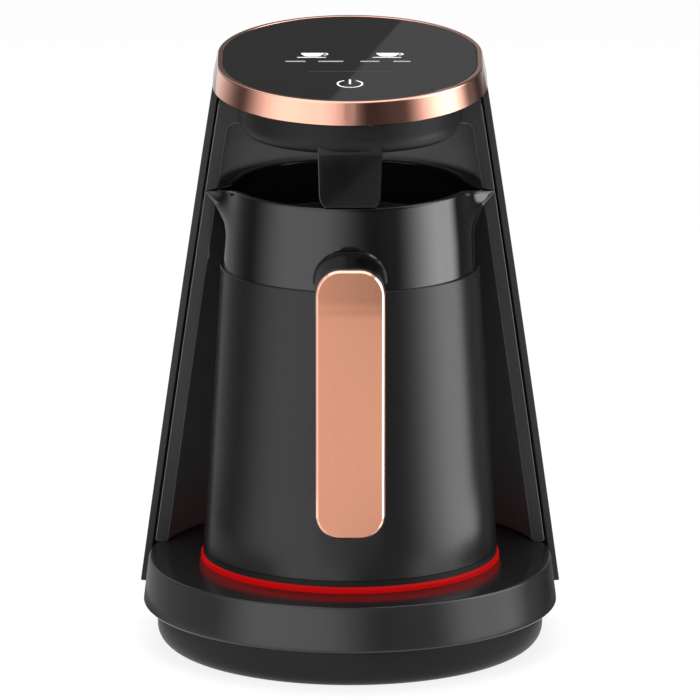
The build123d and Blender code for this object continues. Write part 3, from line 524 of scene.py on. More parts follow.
def lit_ring(name, colour):
    """Red light guide, lit from below: its glow is slightly uneven."""
    material, tree, shader, where = new_material(name)
    set_inputs(shader, {"Base Color": (0.10, 0.0015, 0.0015, 1), "Roughness": 0.45,
                        "Specular IOR Level": 0.05, "Emission Strength": 0.36})
    tint(tree, noise(tree, where, 40, 2), colour, 0.12, shader.inputs["Emission Color"])
    return material


def circuit(name, colour):
    """Solder-masked board with thin conductor lines."""
    material, tree, shader, where = new_material(name)
    shaded = [c * 0.85 for c in colour[:3]] + [1]
    conductor = [min(1, c * 1.7) for c in colour[:3]] + [1]
    tracks = add_node(tree, "ShaderNodeTexBrick", {
        "Scale": 160, "Mortar Size": 0.03, "Color1": colour, "Color2": shaded, "Mortar": conductor}, where)
    tree.links.new(tracks.outputs["Color"], shader.inputs["Base Color"])
    spread(tree, noise(tree, where, 300), 0.3, 0.45, shader.inputs["Roughness"])
    return material


def woven(name, colour):
    """Woven sleeve round the wires."""
    material, tree, shader, where = new_material(name)
    set_inputs(shader, {"Roughness": 0.8})
    weave = add_node(tree, "ShaderNodeTexWave", {"Scale": 700}, where)
    weave.bands_direction = "DIAGONAL"
    tint(tree, weave.outputs["Fac"], colour, 0.4, shader.inputs["Base Color"])
    bump(tree, weave.outputs["Fac"], 0.5, 0.1 * MM, shader)
    return material


def finishes():
    """All finishes by the record's slot, with a few more for pieces of a slot that look different."""
    tones = colours()
    drawn = (1, 1, 0.05)         # stretch of a pattern that is drawn upwards
    faint = [c * 0.45 for c in tones.marks[:3]] + [1]
    return {
        "rubber": moulded("rubber", (0.02, 0.02, 0.021, 1), 0.75, 900, 0.03),
        "matt_black": moulded("matt_black", tones.housing, 0.42, 2600, 0.01, specular=0.18),
        "liner_black": moulded("liner_black", tones.liner, 0.5, specular=0.22),
        # painted light on the bay's walls: the back's black made lighter
        "bay_wall": moulded("bay_wall", tones.bay_wall, 0.5, specular=0.22),
        "satin_black": moulded("satin_black", tones.moulded, 0.21, 2600, 0.006, specular=0.36),
        "sleeve_coat": moulded("sleeve_coat", tones.sleeve, 0.23, 3200, 0.006, 0.03, 0.26),
        "gloss_black": polished("gloss_black", tones.gloss, 0.07),
        "smoked_glass": polished("smoked_glass", (0.004, 0.004, 0.0045, 1), 0.03),
        "red_light": lit_ring("red_light", tones.glow),
        "rose_gold": metal("rose_gold", tones.copper, 0.10, drawn, 900, 0.002, 0.02, 0.9),
        "rose_gold_satin": metal("rose_gold_satin", tones.plate, 0.27, drawn, 1500, 0.0002, 0.005),
        "cut_edge": metal("cut_edge", tones.cut_edge, 0.16, drawn, 900, 0.001, 0.02),
        "steel": metal("steel", (0.55, 0.55, 0.56, 1), 0.3, (1, 1, 1), 700, 0.01),
        "coated_steel": moulded("coated_steel", (0.006, 0.006, 0.006, 1), 0.5, 900, 0.03, 0.1, 0.3),
        "cast_aluminium": lathed("cast_aluminium", (0.45, 0.45, 0.46, 1), 0.34),
        "circuit_board": circuit("circuit_board", (0.02, 0.13, 0.06, 1)),
        "lamp": polished("lamp", (0.75, 0.70, 0.55, 1), 0.15),
        "dark_plastic": moulded("dark_plastic", (0.05, 0.05, 0.055, 1), 0.4, 1500),
        "harness_sleeve": woven("harness_sleeve", (0.06, 0.06, 0.06, 1)),
        "ceramic_fuse": polished("ceramic_fuse", (0.72, 0.70, 0.64, 1), 0.2),
        "print": moulded("print", tones.marks, 0.5, 3000, 0.004),
        "faint_print": moulded("faint_print", faint, 0.5, 3000, 0.004),
    }


FINISH = {}


def dress_frame():
    """Gives every CAD node the finish of its slot."""
    FINISH.update(finishes())
    slots = {part["node"]: part["material_slot"] for part in frame["record"]["subparts"]}
    for node, piece in frame["nodes"].items():
        piece.data.materials.clear()
        piece.data.materials.append(FINISH[slots[node]])


# ------------------------------------------------------------------ base
def build_band():
    """Band and deck of the base: one turned shell with a bright rounded deck edge."""
    wall, edge, deck_edge = 2.6 * MM, 0.6 * MM, 0.9 * MM
    foot_radius, deck_radius = 78.9 * MM, 77.0 * MM
    bore = 55.8 * MM
    profile = [(bore, DECK - wall), (bore, DECK)]
    profile += arc((deck_radius - deck_edge, DECK - deck_edge), deck_edge, 90, 8, 8)
    profile += [(foot_radius, BAND_FOOT + edge), (foot_radius - edge, BAND_FOOT),
                (foot_radius - wall, BAND_FOOT), (deck_radius - wall, DECK - wall)]
    piece = turned("base_band", profile)
    round_edges(piece, 0.25 * MM, 50, 2)
    smooth(piece)
    place(piece, "machine", "satin_black", ["base_upper_shell"])


def build_skirt():
    """Skirt of the set-back tier, which reaches down almost to the table round the low feet."""
    radius, curve, foot, inside = 73.6 * MM, 6.8 * MM, 0.1 * MM, 5.0 * MM
    wall, chamfer = 1 * MM, 1 * MM
    top, roof = BAND_FOOT - 0.05 * MM, low("base_lower_shell").z + 1.2 * MM
    profile = [(radius - wall, top), (radius, top)]
    profile += arc((radius - curve, foot + curve), curve, 0, -90, 12)
    profile += [(radius - curve - inside + chamfer, foot), (radius - curve - inside, foot + chamfer),
                (radius - curve - inside, roof), (radius - curve, roof), (radius - wall, foot + curve)]
    piece = turned("tier_skirt", profile)
    smooth(piece)
    place(piece, "machine", "matt_black")


def build_spring():
    """Coil under the plate's probe, a copy of the frame's coil with its corners merged."""
    piece = frame_copy("probe_coil", "probe_spring")
    smooth(piece)
    place(piece, "machine", "steel", ["probe_spring"])
    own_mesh(piece)


# ------------------------------------------------------------------ back
def build_shell():
    """Hollow back: a round tube that narrows to the tilted head, cut off by its sloping front."""
    foot, top, wall, foot_straight = 83.3 * MM, 51.3 * MM, 2.6 * MM, 1.0 * MM
    fresh()
    bpy.ops.mesh.primitive_circle_add(vertices=sizes().segments, radius=foot,
                                      location=(0, -foot_straight / 2, SHELL_FOOT))
    piece = bpy.context.object
    piece.name = "back_shell"
    settle(piece)
    stretch_back(piece, foot_straight, -foot_straight / 2)
    bpy.ops.mesh.primitive_circle_add(vertices=sizes().segments, radius=top)
    rim = bpy.context.object
    stretch_back(rim, HEAD_STRAIGHT)
    tilt_to_head(rim)
    join([piece, rim])
    edit_all(piece, "EDGE")
    bpy.ops.mesh.bridge_edge_loops()
    bpy.ops.mesh.select_all(action="SELECT")
    bpy.ops.mesh.normals_make_consistent(inside=False)
    add_modifier(piece, "SOLIDIFY", thickness=wall, offset=-1, use_even_offset=True)
    slope = FRONT_AT_HEAD - FRONT_AT_DECK
    edit_all(piece)
    bpy.ops.mesh.bisect(plane_co=FRONT_AT_DECK, plane_no=(0, -slope.z, slope.y),
                        clear_outer=True, use_fill=True)
    fresh()
    round_edges(piece, sizes().edge_round, 40, 3)
    even_normals(piece)
    place(piece, "machine", "liner_black", ["rear_shell"])


def build_liner():
    """Inner skin of the back: its front flange, and the walls behind it, with painted light that makes
    them lighter than the flange.
    """
    flange, facing_front = 2.5 * MM, -0.8
    slope = FRONT_AT_HEAD - FRONT_AT_DECK

    # faces that don't face the front, and faces behind the flange, get the painted light of the bay's
    # walls
    def takes_painted_light(face):
        front = FRONT_AT_DECK.y + (face.center.z - DECK) * slope.y / slope.z
        return face.normal.y >= facing_front or face.center.y >= front + flange

    piece = from_frame("bay_liner", "niche_liner", 0.8 * MM, 40, 3)
    place(piece, "machine", "liner_black", ["niche_liner"])
    finish_faces(piece, "bay_wall", takes_painted_light)


# ------------------------------------------------------------------ jug
def collar_radius(height):
    """Outside radius of the collar at a height: straight up to the knee, then narrowing to the rim."""
    if height < COLLAR_KNEE:
        return KNEE_RADIUS
    return KNEE_RADIUS + (RIM_RADIUS - KNEE_RADIUS) * (height - COLLAR_KNEE) / (RIM - COLLAR_KNEE)


def spout_share(drop):
    """How far a spout stands out at a distance below the rim, as a share of its whole reach."""
    keel = [(3.0, 1.0), (8.0, 0.50), (11.5, 0.28), (15.0, 0.11), (19.5, 0.0)]
    if drop <= keel[0][0]:
        return 1.0
    for (drop_0, share_0), (drop_1, share_1) in zip(keel, keel[1:]):
        if drop <= drop_1:
            return share_0 + (share_1 - share_0) * (drop - drop_0) / (drop_1 - drop_0)
    return 0.0


def draw_spouts(piece):
    """Draws both spouts out of a turned collar: pointed in plan, drooping at the lip, fading downwards."""
    span, reach, droop = sizes().spout_span, sizes().spout_reach, sizes().spout_droop
    blunt, lip_height = radians(0.8), 6.0 * MM
    sharp_at_lip, sharp_below, fade = 6.2, 2.6, 11.0 * MM
    for vertex in piece.data.vertices:
        radius = Vector((vertex.co.x, vertex.co.y)).length
        drop = RIM - vertex.co.z
        turn = abs(atan2(vertex.co.y, abs(vertex.co.x)))
        turn = sqrt(turn ** 2 + blunt ** 2) - blunt
        if radius < BORE - 1 * MM or turn >= span:
            continue
        sharpness = sharp_at_lip + (sharp_below - sharp_at_lip) * min(1.0, drop / fade)
        point = (1 - turn / span) ** sharpness
        sink = droop * point ** 0.35 * max(0.0, 1 - drop / lip_height)
        share = (radius + reach * point * spout_share((drop + sink) / MM)) / radius
        vertex.co.x *= share
        vertex.co.y *= share
        vertex.co.z -= sink


def gather_columns(piece, share=0.72):
    """Turns each column of a turned piece towards the X axis, so that the spouts get finer faces."""
    for vertex in piece.data.vertices:
        radius = Vector((vertex.co.x, vertex.co.y)).length
        angle = atan2(vertex.co.y, vertex.co.x)
        angle -= share * sin(2 * angle) / 2
        vertex.co.x, vertex.co.y = radius * cos(angle), radius * sin(angle)


def build_collar():
    """Gloss collar of the jug with its two spouts."""
    lip = sizes().collar_lip
    skirt_radius, skirt_bore, foot_radius = 46.9 * MM, 44.7 * MM, 48.1 * MM
    bore_foot = RIM - 16.5 * MM
    rows = 26
    profile = [(skirt_radius, COLLAR_FOOT), (skirt_radius, SLEEVE_TOP), (foot_radius, SLEEVE_TOP)]
    for n in range(rows):
        height = COLLAR_KNEE + (RIM - lip - COLLAR_KNEE) * n / rows
        profile.append((collar_radius(height), height))
    profile += arc((RIM_RADIUS - lip, RIM - lip), lip, 0, 90, 4)
    profile += arc((BORE + lip, RIM - lip), lip, 90, 180, 4)
    for n in range(1, rows + 1):
        profile.append((BORE, RIM - lip + (bore_foot - RIM + lip) * n / rows))
    profile += [(skirt_bore, bore_foot), (skirt_bore, COLLAR_FOOT)]
    piece = turned("collar", profile)
    gather_columns(piece)
    draw_spouts(piece)
    face_outwards(piece)
    smooth(piece, 65)
    place(piece, "jug", "gloss_black", ["pot_collar"])


def build_sleeve():
    """Soft-coated sleeve of the jug, with a fine light line at its top edge."""
    wall, edge, foot_edge = 2.0 * MM, 0.5 * MM, 0.3 * MM
    top = 49.2 * MM
    profile = [(FOOT_RADIUS - wall, CAP_TOP), (FOOT_RADIUS - foot_edge, CAP_TOP),
               (FOOT_RADIUS, CAP_TOP + foot_edge), (top, SLEEVE_TOP - edge)]
    profile += arc((top - edge, SLEEVE_TOP - edge), edge, 20, 90, 3)
    profile += [(top - wall, SLEEVE_TOP)]
    piece = turned("sleeve", profile)
    smooth(piece)
    place(piece, "jug", "sleeve_coat", ["pot_sleeve"])


# ------------------------------------------------------------------ handle
def lean(height):
    """How far the handle's front stands back at a height: its top leans, with a soft bend."""
    reach, soft = 4.0 * MM, 3.5 * MM
    above = height - (GRIP_TOP - LEAN_HEIGHT)
    if above <= -soft:
        return 0.0
    if above >= soft:
        return above * reach / LEAN_HEIGHT
    return (above + soft) ** 2 / (4 * soft) * reach / LEAN_HEIGHT


def bend_front(piece, back):
    """Leans the part of a handle piece that lies before a depth."""
    middle, reach, rows = GRIP_TOP - LEAN_HEIGHT, 4.0 * MM, 10
    cut_rows(piece, "Z", [middle - reach + 2 * reach * n / rows for n in range(rows + 1)])
    for vertex in piece.data.vertices:
        if vertex.co.y < back:
            vertex.co.y += lean(vertex.co.z)


def build_plate():
    """Metal plate on the handle's front, with its bright chamfer."""
    half_width, margin, corner = 12.65 * MM, 0.45 * MM, 9.05 * MM
    least_flat = 0.93            # share of a face's normal along Y, from which it isn't chamfer
    outline = rounded_rectangle(half_width, GRIP_FOOT + margin, GRIP_TOP - margin, corner)
    piece = prism("handle_face", outline, "Y", GRIP_FRONT + PLATE_BACK, GRIP_FRONT)
    bevel_edges_at(piece, GRIP_FRONT, sizes().plate_chamfer, 1)
    round_edges(piece, 0.12 * MM, 30, 2)
    bend_front(piece, GRIP_BACK)
    even_normals(piece, 20)
    place(piece, "jug", "rose_gold_satin", ["handle_plate"])
    finish_faces(piece, "cut_edge", lambda face: abs(face.normal.y) <= least_flat)


def neck():
    """Neck from the grip to the collar: an arch in section, with a flared root that follows the collar."""
    start_width, root_width, corner, setback, fall = 25.4 * MM, 26.6 * MM, 11.6 * MM, 0.4 * MM, 0.6 * MM
    flare, start, root = 1.5 * MM, GRIP_BACK - 5 * MM, -46.7 * MM
    foot_edge = 1.2 * MM
    half = start_width / 2
    top = GRIP_TOP - setback
    outline = arc((half - corner, top - corner), corner, 0, 90, 12)
    outline += arc((corner - half, top - corner), corner, 90, 180, 12)
    outline += arc((foot_edge - half, NECK_LOW + foot_edge), foot_edge, 180, 270, 4)
    outline += arc((half - foot_edge, NECK_LOW + foot_edge), foot_edge, 270, 360, 4)
    piece = prism("neck", outline, "Y", start, root)
    cut_rows(piece, "Y", [start + (root - start) * n / 12 for n in range(1, 12)]
             + [root - flare * n / 3 for n in range(1, 6)])
    middle = (top + NECK_LOW) / 2
    for vertex in piece.data.vertices:
        share = (vertex.co.y - start) / (root - start)
        near = max(0.0, 1 - (root - vertex.co.y) / (2 * flare))
        grow = flare * near ** 2
        out = Vector((vertex.co.x / half, (vertex.co.z - middle) / (top - middle)))
        vertex.co.x = vertex.co.x * (1 + (root_width / start_width - 1) * share) + grow * out.x
        vertex.co.z += grow * out.y - fall * share * max(0, out.y)
        vertex.co.y += (-root - sqrt(root ** 2 - vertex.co.x ** 2)) * share ** 2
    return piece


def web():
    """Hollow corner under the neck."""
    radius, half_width, sink = 8.0 * MM, 9.2 * MM, 1.0 * MM
    outline = [(GRIP_BACK - sink, NECK_LOW + sink), (GRIP_BACK + radius, NECK_LOW + sink)]
    outline += arc((GRIP_BACK + radius, NECK_LOW - radius), radius, 90, 180, 10)
    outline += [(GRIP_BACK - sink, NECK_LOW - radius)]
    return prism("web", outline, "X", -half_width, half_width)


def build_grip():
    """Gloss grip with its neck."""
    half_width, corner = 13.1 * MM, 9.5 * MM
    front, front_edge, back_edge = GRIP_FRONT + PLATE_BACK, 0.5 * MM, 2.5 * MM
    outline = rounded_rectangle(half_width, GRIP_FOOT, GRIP_TOP, corner)
    piece = prism("handle", outline, "Y", GRIP_BACK, front)
    bevel_edges_at(piece, front, front_edge, 3)
    bevel_edges_at(piece, GRIP_BACK, back_edge, 6)
    bend_front(piece, front + front_edge + 0.1 * MM)
    unite(piece, [neck(), web()])
    even_normals(piece)
    place(piece, "jug", "gloss_black", ["handle_grip"])


# ------------------------------------------------------------------ head
def build_trim():
    """Plated trim ring round the glass, with a polished rounded lip."""
    foot, top, height, lip = 51.7 * MM, 50.1 * MM, 8.9 * MM, 2.2 * MM
    wall, curve, inner_curve = 1.5 * MM, 0.9 * MM, 0.35 * MM
    seat, shelf, shelf_height = 2.3 * MM, 1.8 * MM, 1.3 * MM
    profile = [(foot - wall, 0), (foot - 0.3 * MM, 0), (foot, 0.3 * MM)]
    profile += arc((top - curve, height - curve), curve, 8, 90, 8)
    profile += arc((top - lip + inner_curve, height - inner_curve), inner_curve, 90, 180, 4)
    shelf_radius, shelf_foot = top - lip - shelf, height - seat - shelf_height
    profile += [(top - lip, height - seat), (shelf_radius, height - seat), (shelf_radius, shelf_foot),
                (foot - wall, shelf_foot)]
    piece = turned("trim_band", profile)
    stretch_back(piece, HEAD_STRAIGHT)
    tilt_to_head(piece)
    smooth(piece)
    place(piece, "machine", "rose_gold", ["trim_ring"])


def build_glass():
    """Touch glass with a ground edge."""
    radius, thick, ground = 47.85 * MM, 2.2 * MM, 0.25 * MM
    foot = GLASS_TOP - thick
    profile = [(0, foot), (radius - ground, foot), (radius, foot + ground),
               (radius, GLASS_TOP - ground), (radius - ground, GLASS_TOP), (0, GLASS_TOP)]
    piece = turned("touch_glass", profile, closed=False)
    stretch_back(piece, HEAD_STRAIGHT)
    tilt_to_head(piece)
    smooth(piece, 25)
    place(piece, "machine", "smoked_glass", ["glass_panel"])


def build_arm():
    """Sensor arm that reaches down to the jug's rim."""
    piece = from_frame("foam_sensor_arm", "sensor_arm", 0.45 * MM)
    place(piece, "machine", "gloss_black", ["sensor_arm"])


# ------------------------------------------------------------------ marks on the glass
def mark(name, outline):
    """Flat mark on the glass, from corners in millimetres on the head's plane."""
    corners = [(x * MM, y * MM) for x, y in outline]
    return prism(name, corners, "Z", GLASS_TOP, GLASS_TOP + sizes().mark_height)


def bar(name, x_0, x_1, y, height):
    """Level bar with round ends."""
    half = height / 2
    ends = arc((x_1 - half, y), half, -90, 90, 6) + arc((x_0 + half, y), half, 90, 270, 6)
    return mark(name, ends)


def open_ring(name, centre, outer, inner, start, end):
    """Part of a flat ring, between two angles in degrees."""
    return mark(name, arc(centre, outer, start, end, 32) + arc(centre, inner, end, start, 32))


def cup(name, x):
    """Cup on a saucer, seen from the side."""
    body = [(x - 4.3, 13.5), (x + 4.3, 13.5), (x + 4.1, 11.8), (x + 3.0, 9.6), (x + 1.8, 8.8),
            (x - 1.8, 8.8), (x - 3.0, 9.6), (x - 4.1, 11.8)]
    ear = open_ring("ear", (x + 4.6, 11.9), 1.5, 0.8, -110, 100)
    return join([mark(name, body), ear, bar("saucer", x - 5.8, x + 5.2, 7.7, 0.9)])


def build_marks():
    """Plain generic marks on the glass: two cups with bars under them, a line and a power symbol."""
    bar_ends = [(-24.4, -16.6), (-12.0, -2.4), (3.8, 11.2), (16.2, 22.8)]
    stem = [(-0.42, -26.9), (0.42, -26.9), (0.42, -20.9), (-0.42, -20.9)]
    left, right = cup("cup_mark_left", -14.2), cup("cup_mark_right", 14.2)
    bars = join([bar("bar_marks", x_0, x_1, 2.5, 1.3) for x_0, x_1 in bar_ends])
    power = join([open_ring("power_mark", (0, -26.4), 5.0, 4.25, 118, 422), mark("stem", stem)])
    line = bar("line_mark", -15.6, 15.6, -10.5, 0.35)
    marks = ((left, "print"), (right, "print"), (bars, "faint_print"), (power, "print"),
             (line, "dark_plastic"))
    for piece, finish in marks:
        tilt_to_head(piece)
        smooth(piece, 20)
        place(piece, "machine", finish)


# ------------------------------------------------------------------ stage
def look_at(thing, target):
    direction = Vector(target) - thing.location
    thing.rotation_euler = direction.to_track_quat("-Z", "Y").to_euler()


def build_camera():
    """Long lens from the front, a little above the object."""
    spot, pitch, lens = (0, -2.9579, 0.8152), radians(76.65), 411.4
    fresh()
    bpy.ops.object.camera_add(location=spot, rotation=(pitch, 0, 0))
    camera = bpy.context.object
    camera.name = "camera"
    camera.data.lens = lens
    camera.data.sensor_width = 36
    bpy.context.scene.camera = camera


def seen_rays(tree):
    """1 for what the camera, a reflection or clear glass sees, 0 for light that bounces."""
    path = tree.nodes.new("ShaderNodeLightPath")
    seen = path.outputs["Is Camera Ray"]
    for kind in ("Is Glossy Ray", "Is Transmission Ray"):
        either = tree.nodes.new("ShaderNodeMath")
        either.operation = "MAXIMUM"
        tree.links.new(seen, either.inputs[0])
        tree.links.new(path.outputs[kind], either.inputs[1])
        seen = either.outputs["Value"]
    return seen


def blend_shaders(tree, share, first, second, target):
    """Mixes two shaders by a share of the second one."""
    blend = tree.nodes.new("ShaderNodeMixShader")
    tree.links.new(share, blend.inputs["Fac"])
    tree.links.new(first, blend.inputs[1])
    tree.links.new(second, blend.inputs[2])
    tree.links.new(blend.outputs["Shader"], target)


def build_floor():
    """Pale level floor that keeps the object's shadow and is white away from it."""
    white_share, below_object = 0.80, 0.2 * MM
    fresh()
    bpy.ops.mesh.primitive_plane_add(size=14, location=(0, 0, -below_object))
    floor = bpy.context.object
    floor.name = "floor"
    material = bpy.data.materials.new("pale_floor")
    material.use_nodes = True
    tree = material.node_tree
    shader = tree.nodes["Principled BSDF"]
    set_inputs(shader, {"Base Color": (0.86, 0.86, 0.86, 1), "Roughness": 0.9, "Specular IOR Level": 0.1})
    white = add_node(tree, "ShaderNodeEmission", {"Strength": 1.05})
    share = tree.nodes.new("ShaderNodeMath")
    share.operation = "MULTIPLY"
    share.inputs[1].default_value = white_share
    tree.links.new(seen_rays(tree), share.inputs[0])
    blend_shaders(tree, share.outputs["Value"], shader.outputs["BSDF"], white.outputs["Emission"],
                  tree.nodes["Material Output"].inputs["Surface"])
    floor.data.materials.append(material)


def build_world():
    """Soft even room light, and a white backdrop where it is seen."""
    world = bpy.data.worlds.new("studio")
    world.use_nodes = True
    bpy.context.scene.world = world
    tree = world.node_tree
    room = tree.nodes["Background"]
    set_inputs(room, {"Color": (0.96, 0.98, 1, 1), "Strength": 0.45})
    white = add_node(tree, "ShaderNodeBackground", {"Strength": 1.0})
    blend_shaders(tree, seen_rays(tree), room.outputs["Background"], white.outputs["Background"],
                  tree.nodes["World Output"].inputs["Surface"])


def area_light(name, spot, target, size, power):
    """Soft lamp whose own shape isn't seen in the gloss: the reflectors are."""
    fresh()
    bpy.ops.object.light_add(type="AREA", location=spot)
    lamp = bpy.context.object
    lamp.name = name
    lamp.data.shape = "RECTANGLE"
    lamp.data.size, lamp.data.size_y = size
    lamp.data.energy = power
    lamp.visible_glossy = False
    look_at(lamp, target)


def for_gloss_alone(thing):
    """Makes a reflector that only the object's gloss shows."""
    thing.visible_camera = False
    thing.visible_diffuse = False
    thing.visible_shadow = False
    thing.visible_transmission = False


def glow(name, strength):
    """Plain white glow."""
    material = bpy.data.materials.new(name)
    material.use_nodes = True
    tree = material.node_tree
    tree.nodes.remove(tree.nodes["Principled BSDF"])
    light = add_node(tree, "ShaderNodeEmission", {"Color": (1, 1, 1, 1), "Strength": strength})
    tree.links.new(light.outputs["Emission"], tree.nodes["Material Output"].inputs["Surface"])
    return material, tree, light


def tent_material(name, tones):
    """Glow that changes round the object: soft boxes and dimmer walls between them.

    Each tone is an azimuth from the front towards +X in degrees, with the brightness there."""
    brightest = 6.0
    material, tree, light = glow(name, brightest)
    coordinates = tree.nodes.new("ShaderNodeTexCoord")
    turn = add_node(tree, "ShaderNodeMapping", {"Rotation": (0, 0, pi / 2)}, coordinates.outputs["Object"])
    angle = add_node(tree, "ShaderNodeTexGradient", {}, turn.outputs["Vector"])
    angle.gradient_type = "RADIAL"
    ramp = tree.nodes.new("ShaderNodeValToRGB")
    tree.links.new(angle.outputs["Fac"], ramp.inputs["Fac"])
    tree.links.new(ramp.outputs["Color"], light.inputs["Color"])
    ramp.color_ramp.interpolation = "EASE"
    stops = ramp.color_ramp.elements
    while len(stops) < len(tones):
        stops.new(0.5)
    # all places come before the tones, because the ramp sorts its stops by place
    for stop, (azimuth, _) in zip(stops, tones):
        stop.position = 0.5 + azimuth / 360
    for stop, (_, tone) in zip(stops, tones):
        stop.color = (tone / brightest, tone / brightest, tone / brightest, 1)
    return material


def tent_wall(name, radius, foot, top, tones):
    """Open round wall of the light tent."""
    fresh()
    bpy.ops.mesh.primitive_cylinder_add(vertices=128, radius=radius, depth=top - foot,
                                        end_fill_type="NOTHING", location=(0, 0, (foot + top) / 2))
    wall = bpy.context.object
    wall.name = name
    settle(wall)
    wall.data.materials.append(tent_material(name, tones))
    for_gloss_alone(wall)


def card(name, axis, depth, outline, tone):
    """Flat reflector of any outline, square to an axis."""
    fresh()
    bpy.ops.mesh.primitive_circle_add(vertices=len(outline), radius=MM, fill_type="NGON")
    piece = bpy.context.object
    piece.name = name
    along = "XYZ".index(axis)
    for vertex, corner in zip(piece.data.vertices, outline):
        spot = list(corner)
        spot.insert(along, depth)
        vertex.co = spot
    piece.data.materials.append(glow(name, tone)[0])
    for_gloss_alone(piece)


def rectangle(half_width, foot, top):
    return [(-half_width, foot), (half_width, foot), (half_width, top), (-half_width, top)]


def build_reflectors():
    """Light tent round the object, and the cards that its flat glossy faces show."""
    soft_boxes = ((-180, 0.6), (-137, 0.45), (-98, 0.1), (-52, 2.15), (-30, 2.15), (20, 0.12), (38, 0.2),
                  (82, 5.6), (96, 4.6), (114, 0.1), (146, 0.1), (165, 0.6), (180, 0.6))
    # each wall: name, radius, foot, top, tones round it
    walls = (
        ("tent", 0.34, 0.0, 0.55, soft_boxes),
        ("tent_low", 0.20, 0.0005, 0.033, soft_boxes),
        ("tent_band", 0.105, 0.0005, 0.036, (
            (-180, 0.3), (-100, 0.4), (-54, 0.4), (-31, 2.4), (-12, 2.2), (12, 0.2), (28, 0.4),
            (46, 2.6), (62, 2.3), (82, 0.25), (99, 0.05), (130, 0.2), (180, 0.3))),
        ("tent_tier", 0.09, 0.0003, 0.0125, (
            (-180, 0.1), (-90, 0.15), (-48, 1.0), (-12, 1.0), (8, 0.8), (45, 0.8), (84, 0.1), (180, 0.1))),
        ("tent_chin", 0.088, 0.19, 0.2025, (
            (-180, 0.1), (-80, 0.24), (-48, 0.6), (-26, 1.6), (4, 0.5), (26, 0.4), (42, 0.9), (58, 0.7),
            (80, 0.08), (180, 0.1))),
        ("tent_head", 0.30, 0.185, 0.26, (
            (-180, 0.6), (-138, 0.9), (-94, 0.1), (-50, 1.9), (-24, 1.7), (14, 0.05), (40, 0.1),
            (82, 3.2), (110, 0.2), (128, 0.05), (162, 0.6), (180, 0.6))),
    )
    for wall in walls:
        tent_wall(*wall)

    front, back, apart = -0.33, 0.28, 0.001
    collar_edge = [(-0.008, 0.145), (0.018, 0.145), (0.018, 0.168), (-0.008, 0.168)]
    arm_diagonal = [(-0.016, 0.112), (0.016, 0.112), (0.016, 0.140), (0.014, 0.140)]
    glass_diagonal = [(0.073, 0.262), (0.13, 0.262), (0.13, 0.46), (-0.091, 0.46)]
    # each card: name, axis it is square to, its place on that axis, outline, tone
    cards = (
        ("collar_edge_card", "X", -0.0535, collar_edge, 0.4),
        ("low_front_card", "Y", front + 0.02, rectangle(0.13, 0.0, 0.10), 1.0),
        ("arm_card_dark", "Y", front, rectangle(0.016, 0.112, 0.140), 0.06),
        ("arm_card_light", "Y", front + apart, arm_diagonal, 0.32),
        ("high_front_card", "Y", front + 0.045, rectangle(0.02, 0.216, 0.30), 0.55),
        ("glass_card_dark", "Y", back, rectangle(0.13, 0.262, 0.46), 0.13),
        ("glass_card_light", "Y", back - apart, glass_diagonal, 0.28),
        ("overhead_card", "Z", 0.70, rectangle(0.30, -0.30, 0.30), 2.2),
    )
    for reflector in cards:
        card(*reflector)


def build_lights():
    """Two large soft lamps from the front corners and one from above."""
    middle = (0, 0, 0.11)        # of the object
    area_light("left", (-1.6, -1.5, 0.5), middle, (0.9, 0.9), 21)
    area_light("right", (1.6, -1.5, 0.5), middle, (0.9, 0.9), 19)
    area_light("top", (0, 0.1, 1.5), middle, (1.2, 1.2), 20)


# ------------------------------------------------------------------ operators
class COFFEE_OT_finishes(bpy.types.Operator):
    """Gives every piece of the frame its finish"""
    bl_idname = "coffee_maker.finishes"
    bl_label = "Finishes"

    def execute(self, context):
        dress_frame()
        return {"FINISHED"}


class COFFEE_OT_base(bpy.types.Operator):
    """Models the base: its band with the deck, its tier's skirt and the probe's spring"""
    bl_idname = "coffee_maker.base"
    bl_label = "Base"

    def execute(self, context):
        build_band()
        build_skirt()
        build_spring()
        return {"FINISHED"}


class COFFEE_OT_back(bpy.types.Operator):
    """Models the hollow back and its liner"""
    bl_idname = "coffee_maker.back"
    bl_label = "Back"

    def execute(self, context):
        build_shell()
        build_liner()
        return {"FINISHED"}


class COFFEE_OT_jug(bpy.types.Operator):
    """Models the jug's collar with its spouts, and the sleeve"""
    bl_idname = "coffee_maker.jug"
    bl_label = "Jug"

    def execute(self, context):
        build_collar()
        build_sleeve()
        return {"FINISHED"}


class COFFEE_OT_handle(bpy.types.Operator):
    """Models the handle's grip, neck and plate"""
    bl_idname = "coffee_maker.handle"
    bl_label = "Handle"

    def execute(self, context):
        build_grip()
        build_plate()
        return {"FINISHED"}


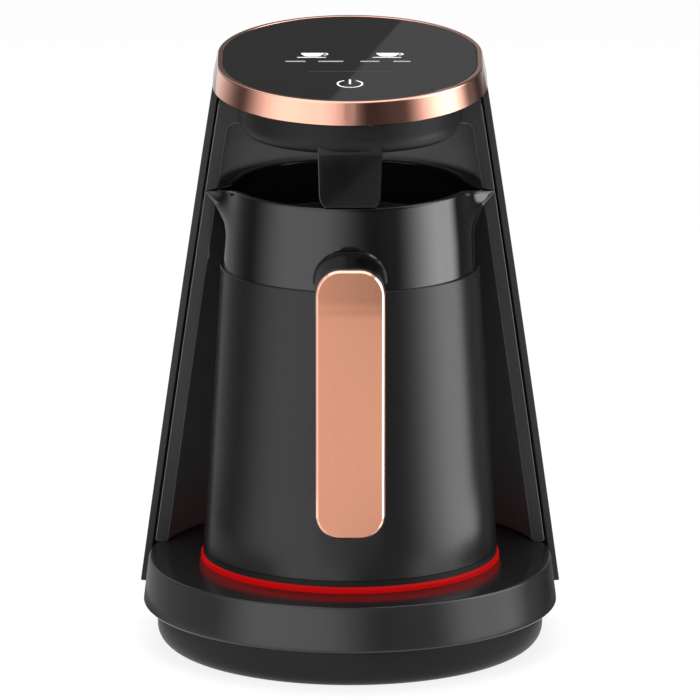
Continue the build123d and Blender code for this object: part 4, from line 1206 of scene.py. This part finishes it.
class COFFEE_OT_head(bpy.types.Operator):
    """Models the trim ring, the touch glass and the sensor arm"""
    bl_idname = "coffee_maker.head"
    bl_label = "Head"

    def execute(self, context):
        build_trim()
        build_glass()
        build_arm()
        return {"FINISHED"}


class COFFEE_OT_marks(bpy.types.Operator):
    """Adds the plain marks on the touch glass"""
    bl_idname = "coffee_maker.marks"
    bl_label = "Marks"

    def execute(self, context):
        build_marks()
        return {"FINISHED"}


class COFFEE_OT_stage(bpy.types.Operator):
    """Adds the camera, the floor, the backdrop, the lamps and the reflectors"""
    bl_idname = "coffee_maker.stage"
    bl_label = "Stage"

    def execute(self, context):
        build_camera()
        build_floor()
        build_world()
        build_reflectors()
        build_lights()
        return {"FINISHED"}


OPERATORS = (COFFEE_OT_finishes, COFFEE_OT_base, COFFEE_OT_back, COFFEE_OT_jug, COFFEE_OT_handle,
             COFFEE_OT_head, COFFEE_OT_marks, COFFEE_OT_stage)


class COFFEE_PT_panel(bpy.types.Panel):
    """Lists the pieces and their settings"""
    bl_idname = "COFFEE_PT_panel"
    bl_label = "Coffee maker"
    bl_space_type = "VIEW_3D"
    bl_region_type = "UI"
    bl_category = "Coffee maker"

    def draw(self, context):
        for operator in OPERATORS:
            self.layout.operator(operator.bl_idname)
        for group in (sizes(), colours()):
            for name in group.bl_rna.properties.keys():
                if name not in ("rna_type", "name"):
                    self.layout.prop(group, name)


CLASSES = (CoffeeMakerSizes, CoffeeMakerColours) + OPERATORS + (COFFEE_PT_panel,)


def register():
    for cls in CLASSES:
        bpy.utils.register_class(cls)
    bpy.types.Scene.coffee_maker_sizes = PointerProperty(type=CoffeeMakerSizes)
    bpy.types.Scene.coffee_maker_colours = PointerProperty(type=CoffeeMakerColours)


def unregister():
    del bpy.types.Scene.coffee_maker_colours
    del bpy.types.Scene.coffee_maker_sizes
    for cls in reversed(CLASSES):
        bpy.utils.unregister_class(cls)


def main():
    register()
    bpy.context.scene.view_settings.view_transform = "Standard"
    for operator in OPERATORS:
        name = operator.bl_idname.split(".")[1]
        getattr(bpy.ops.coffee_maker, name)()


if __name__ == "__main__":
    main()
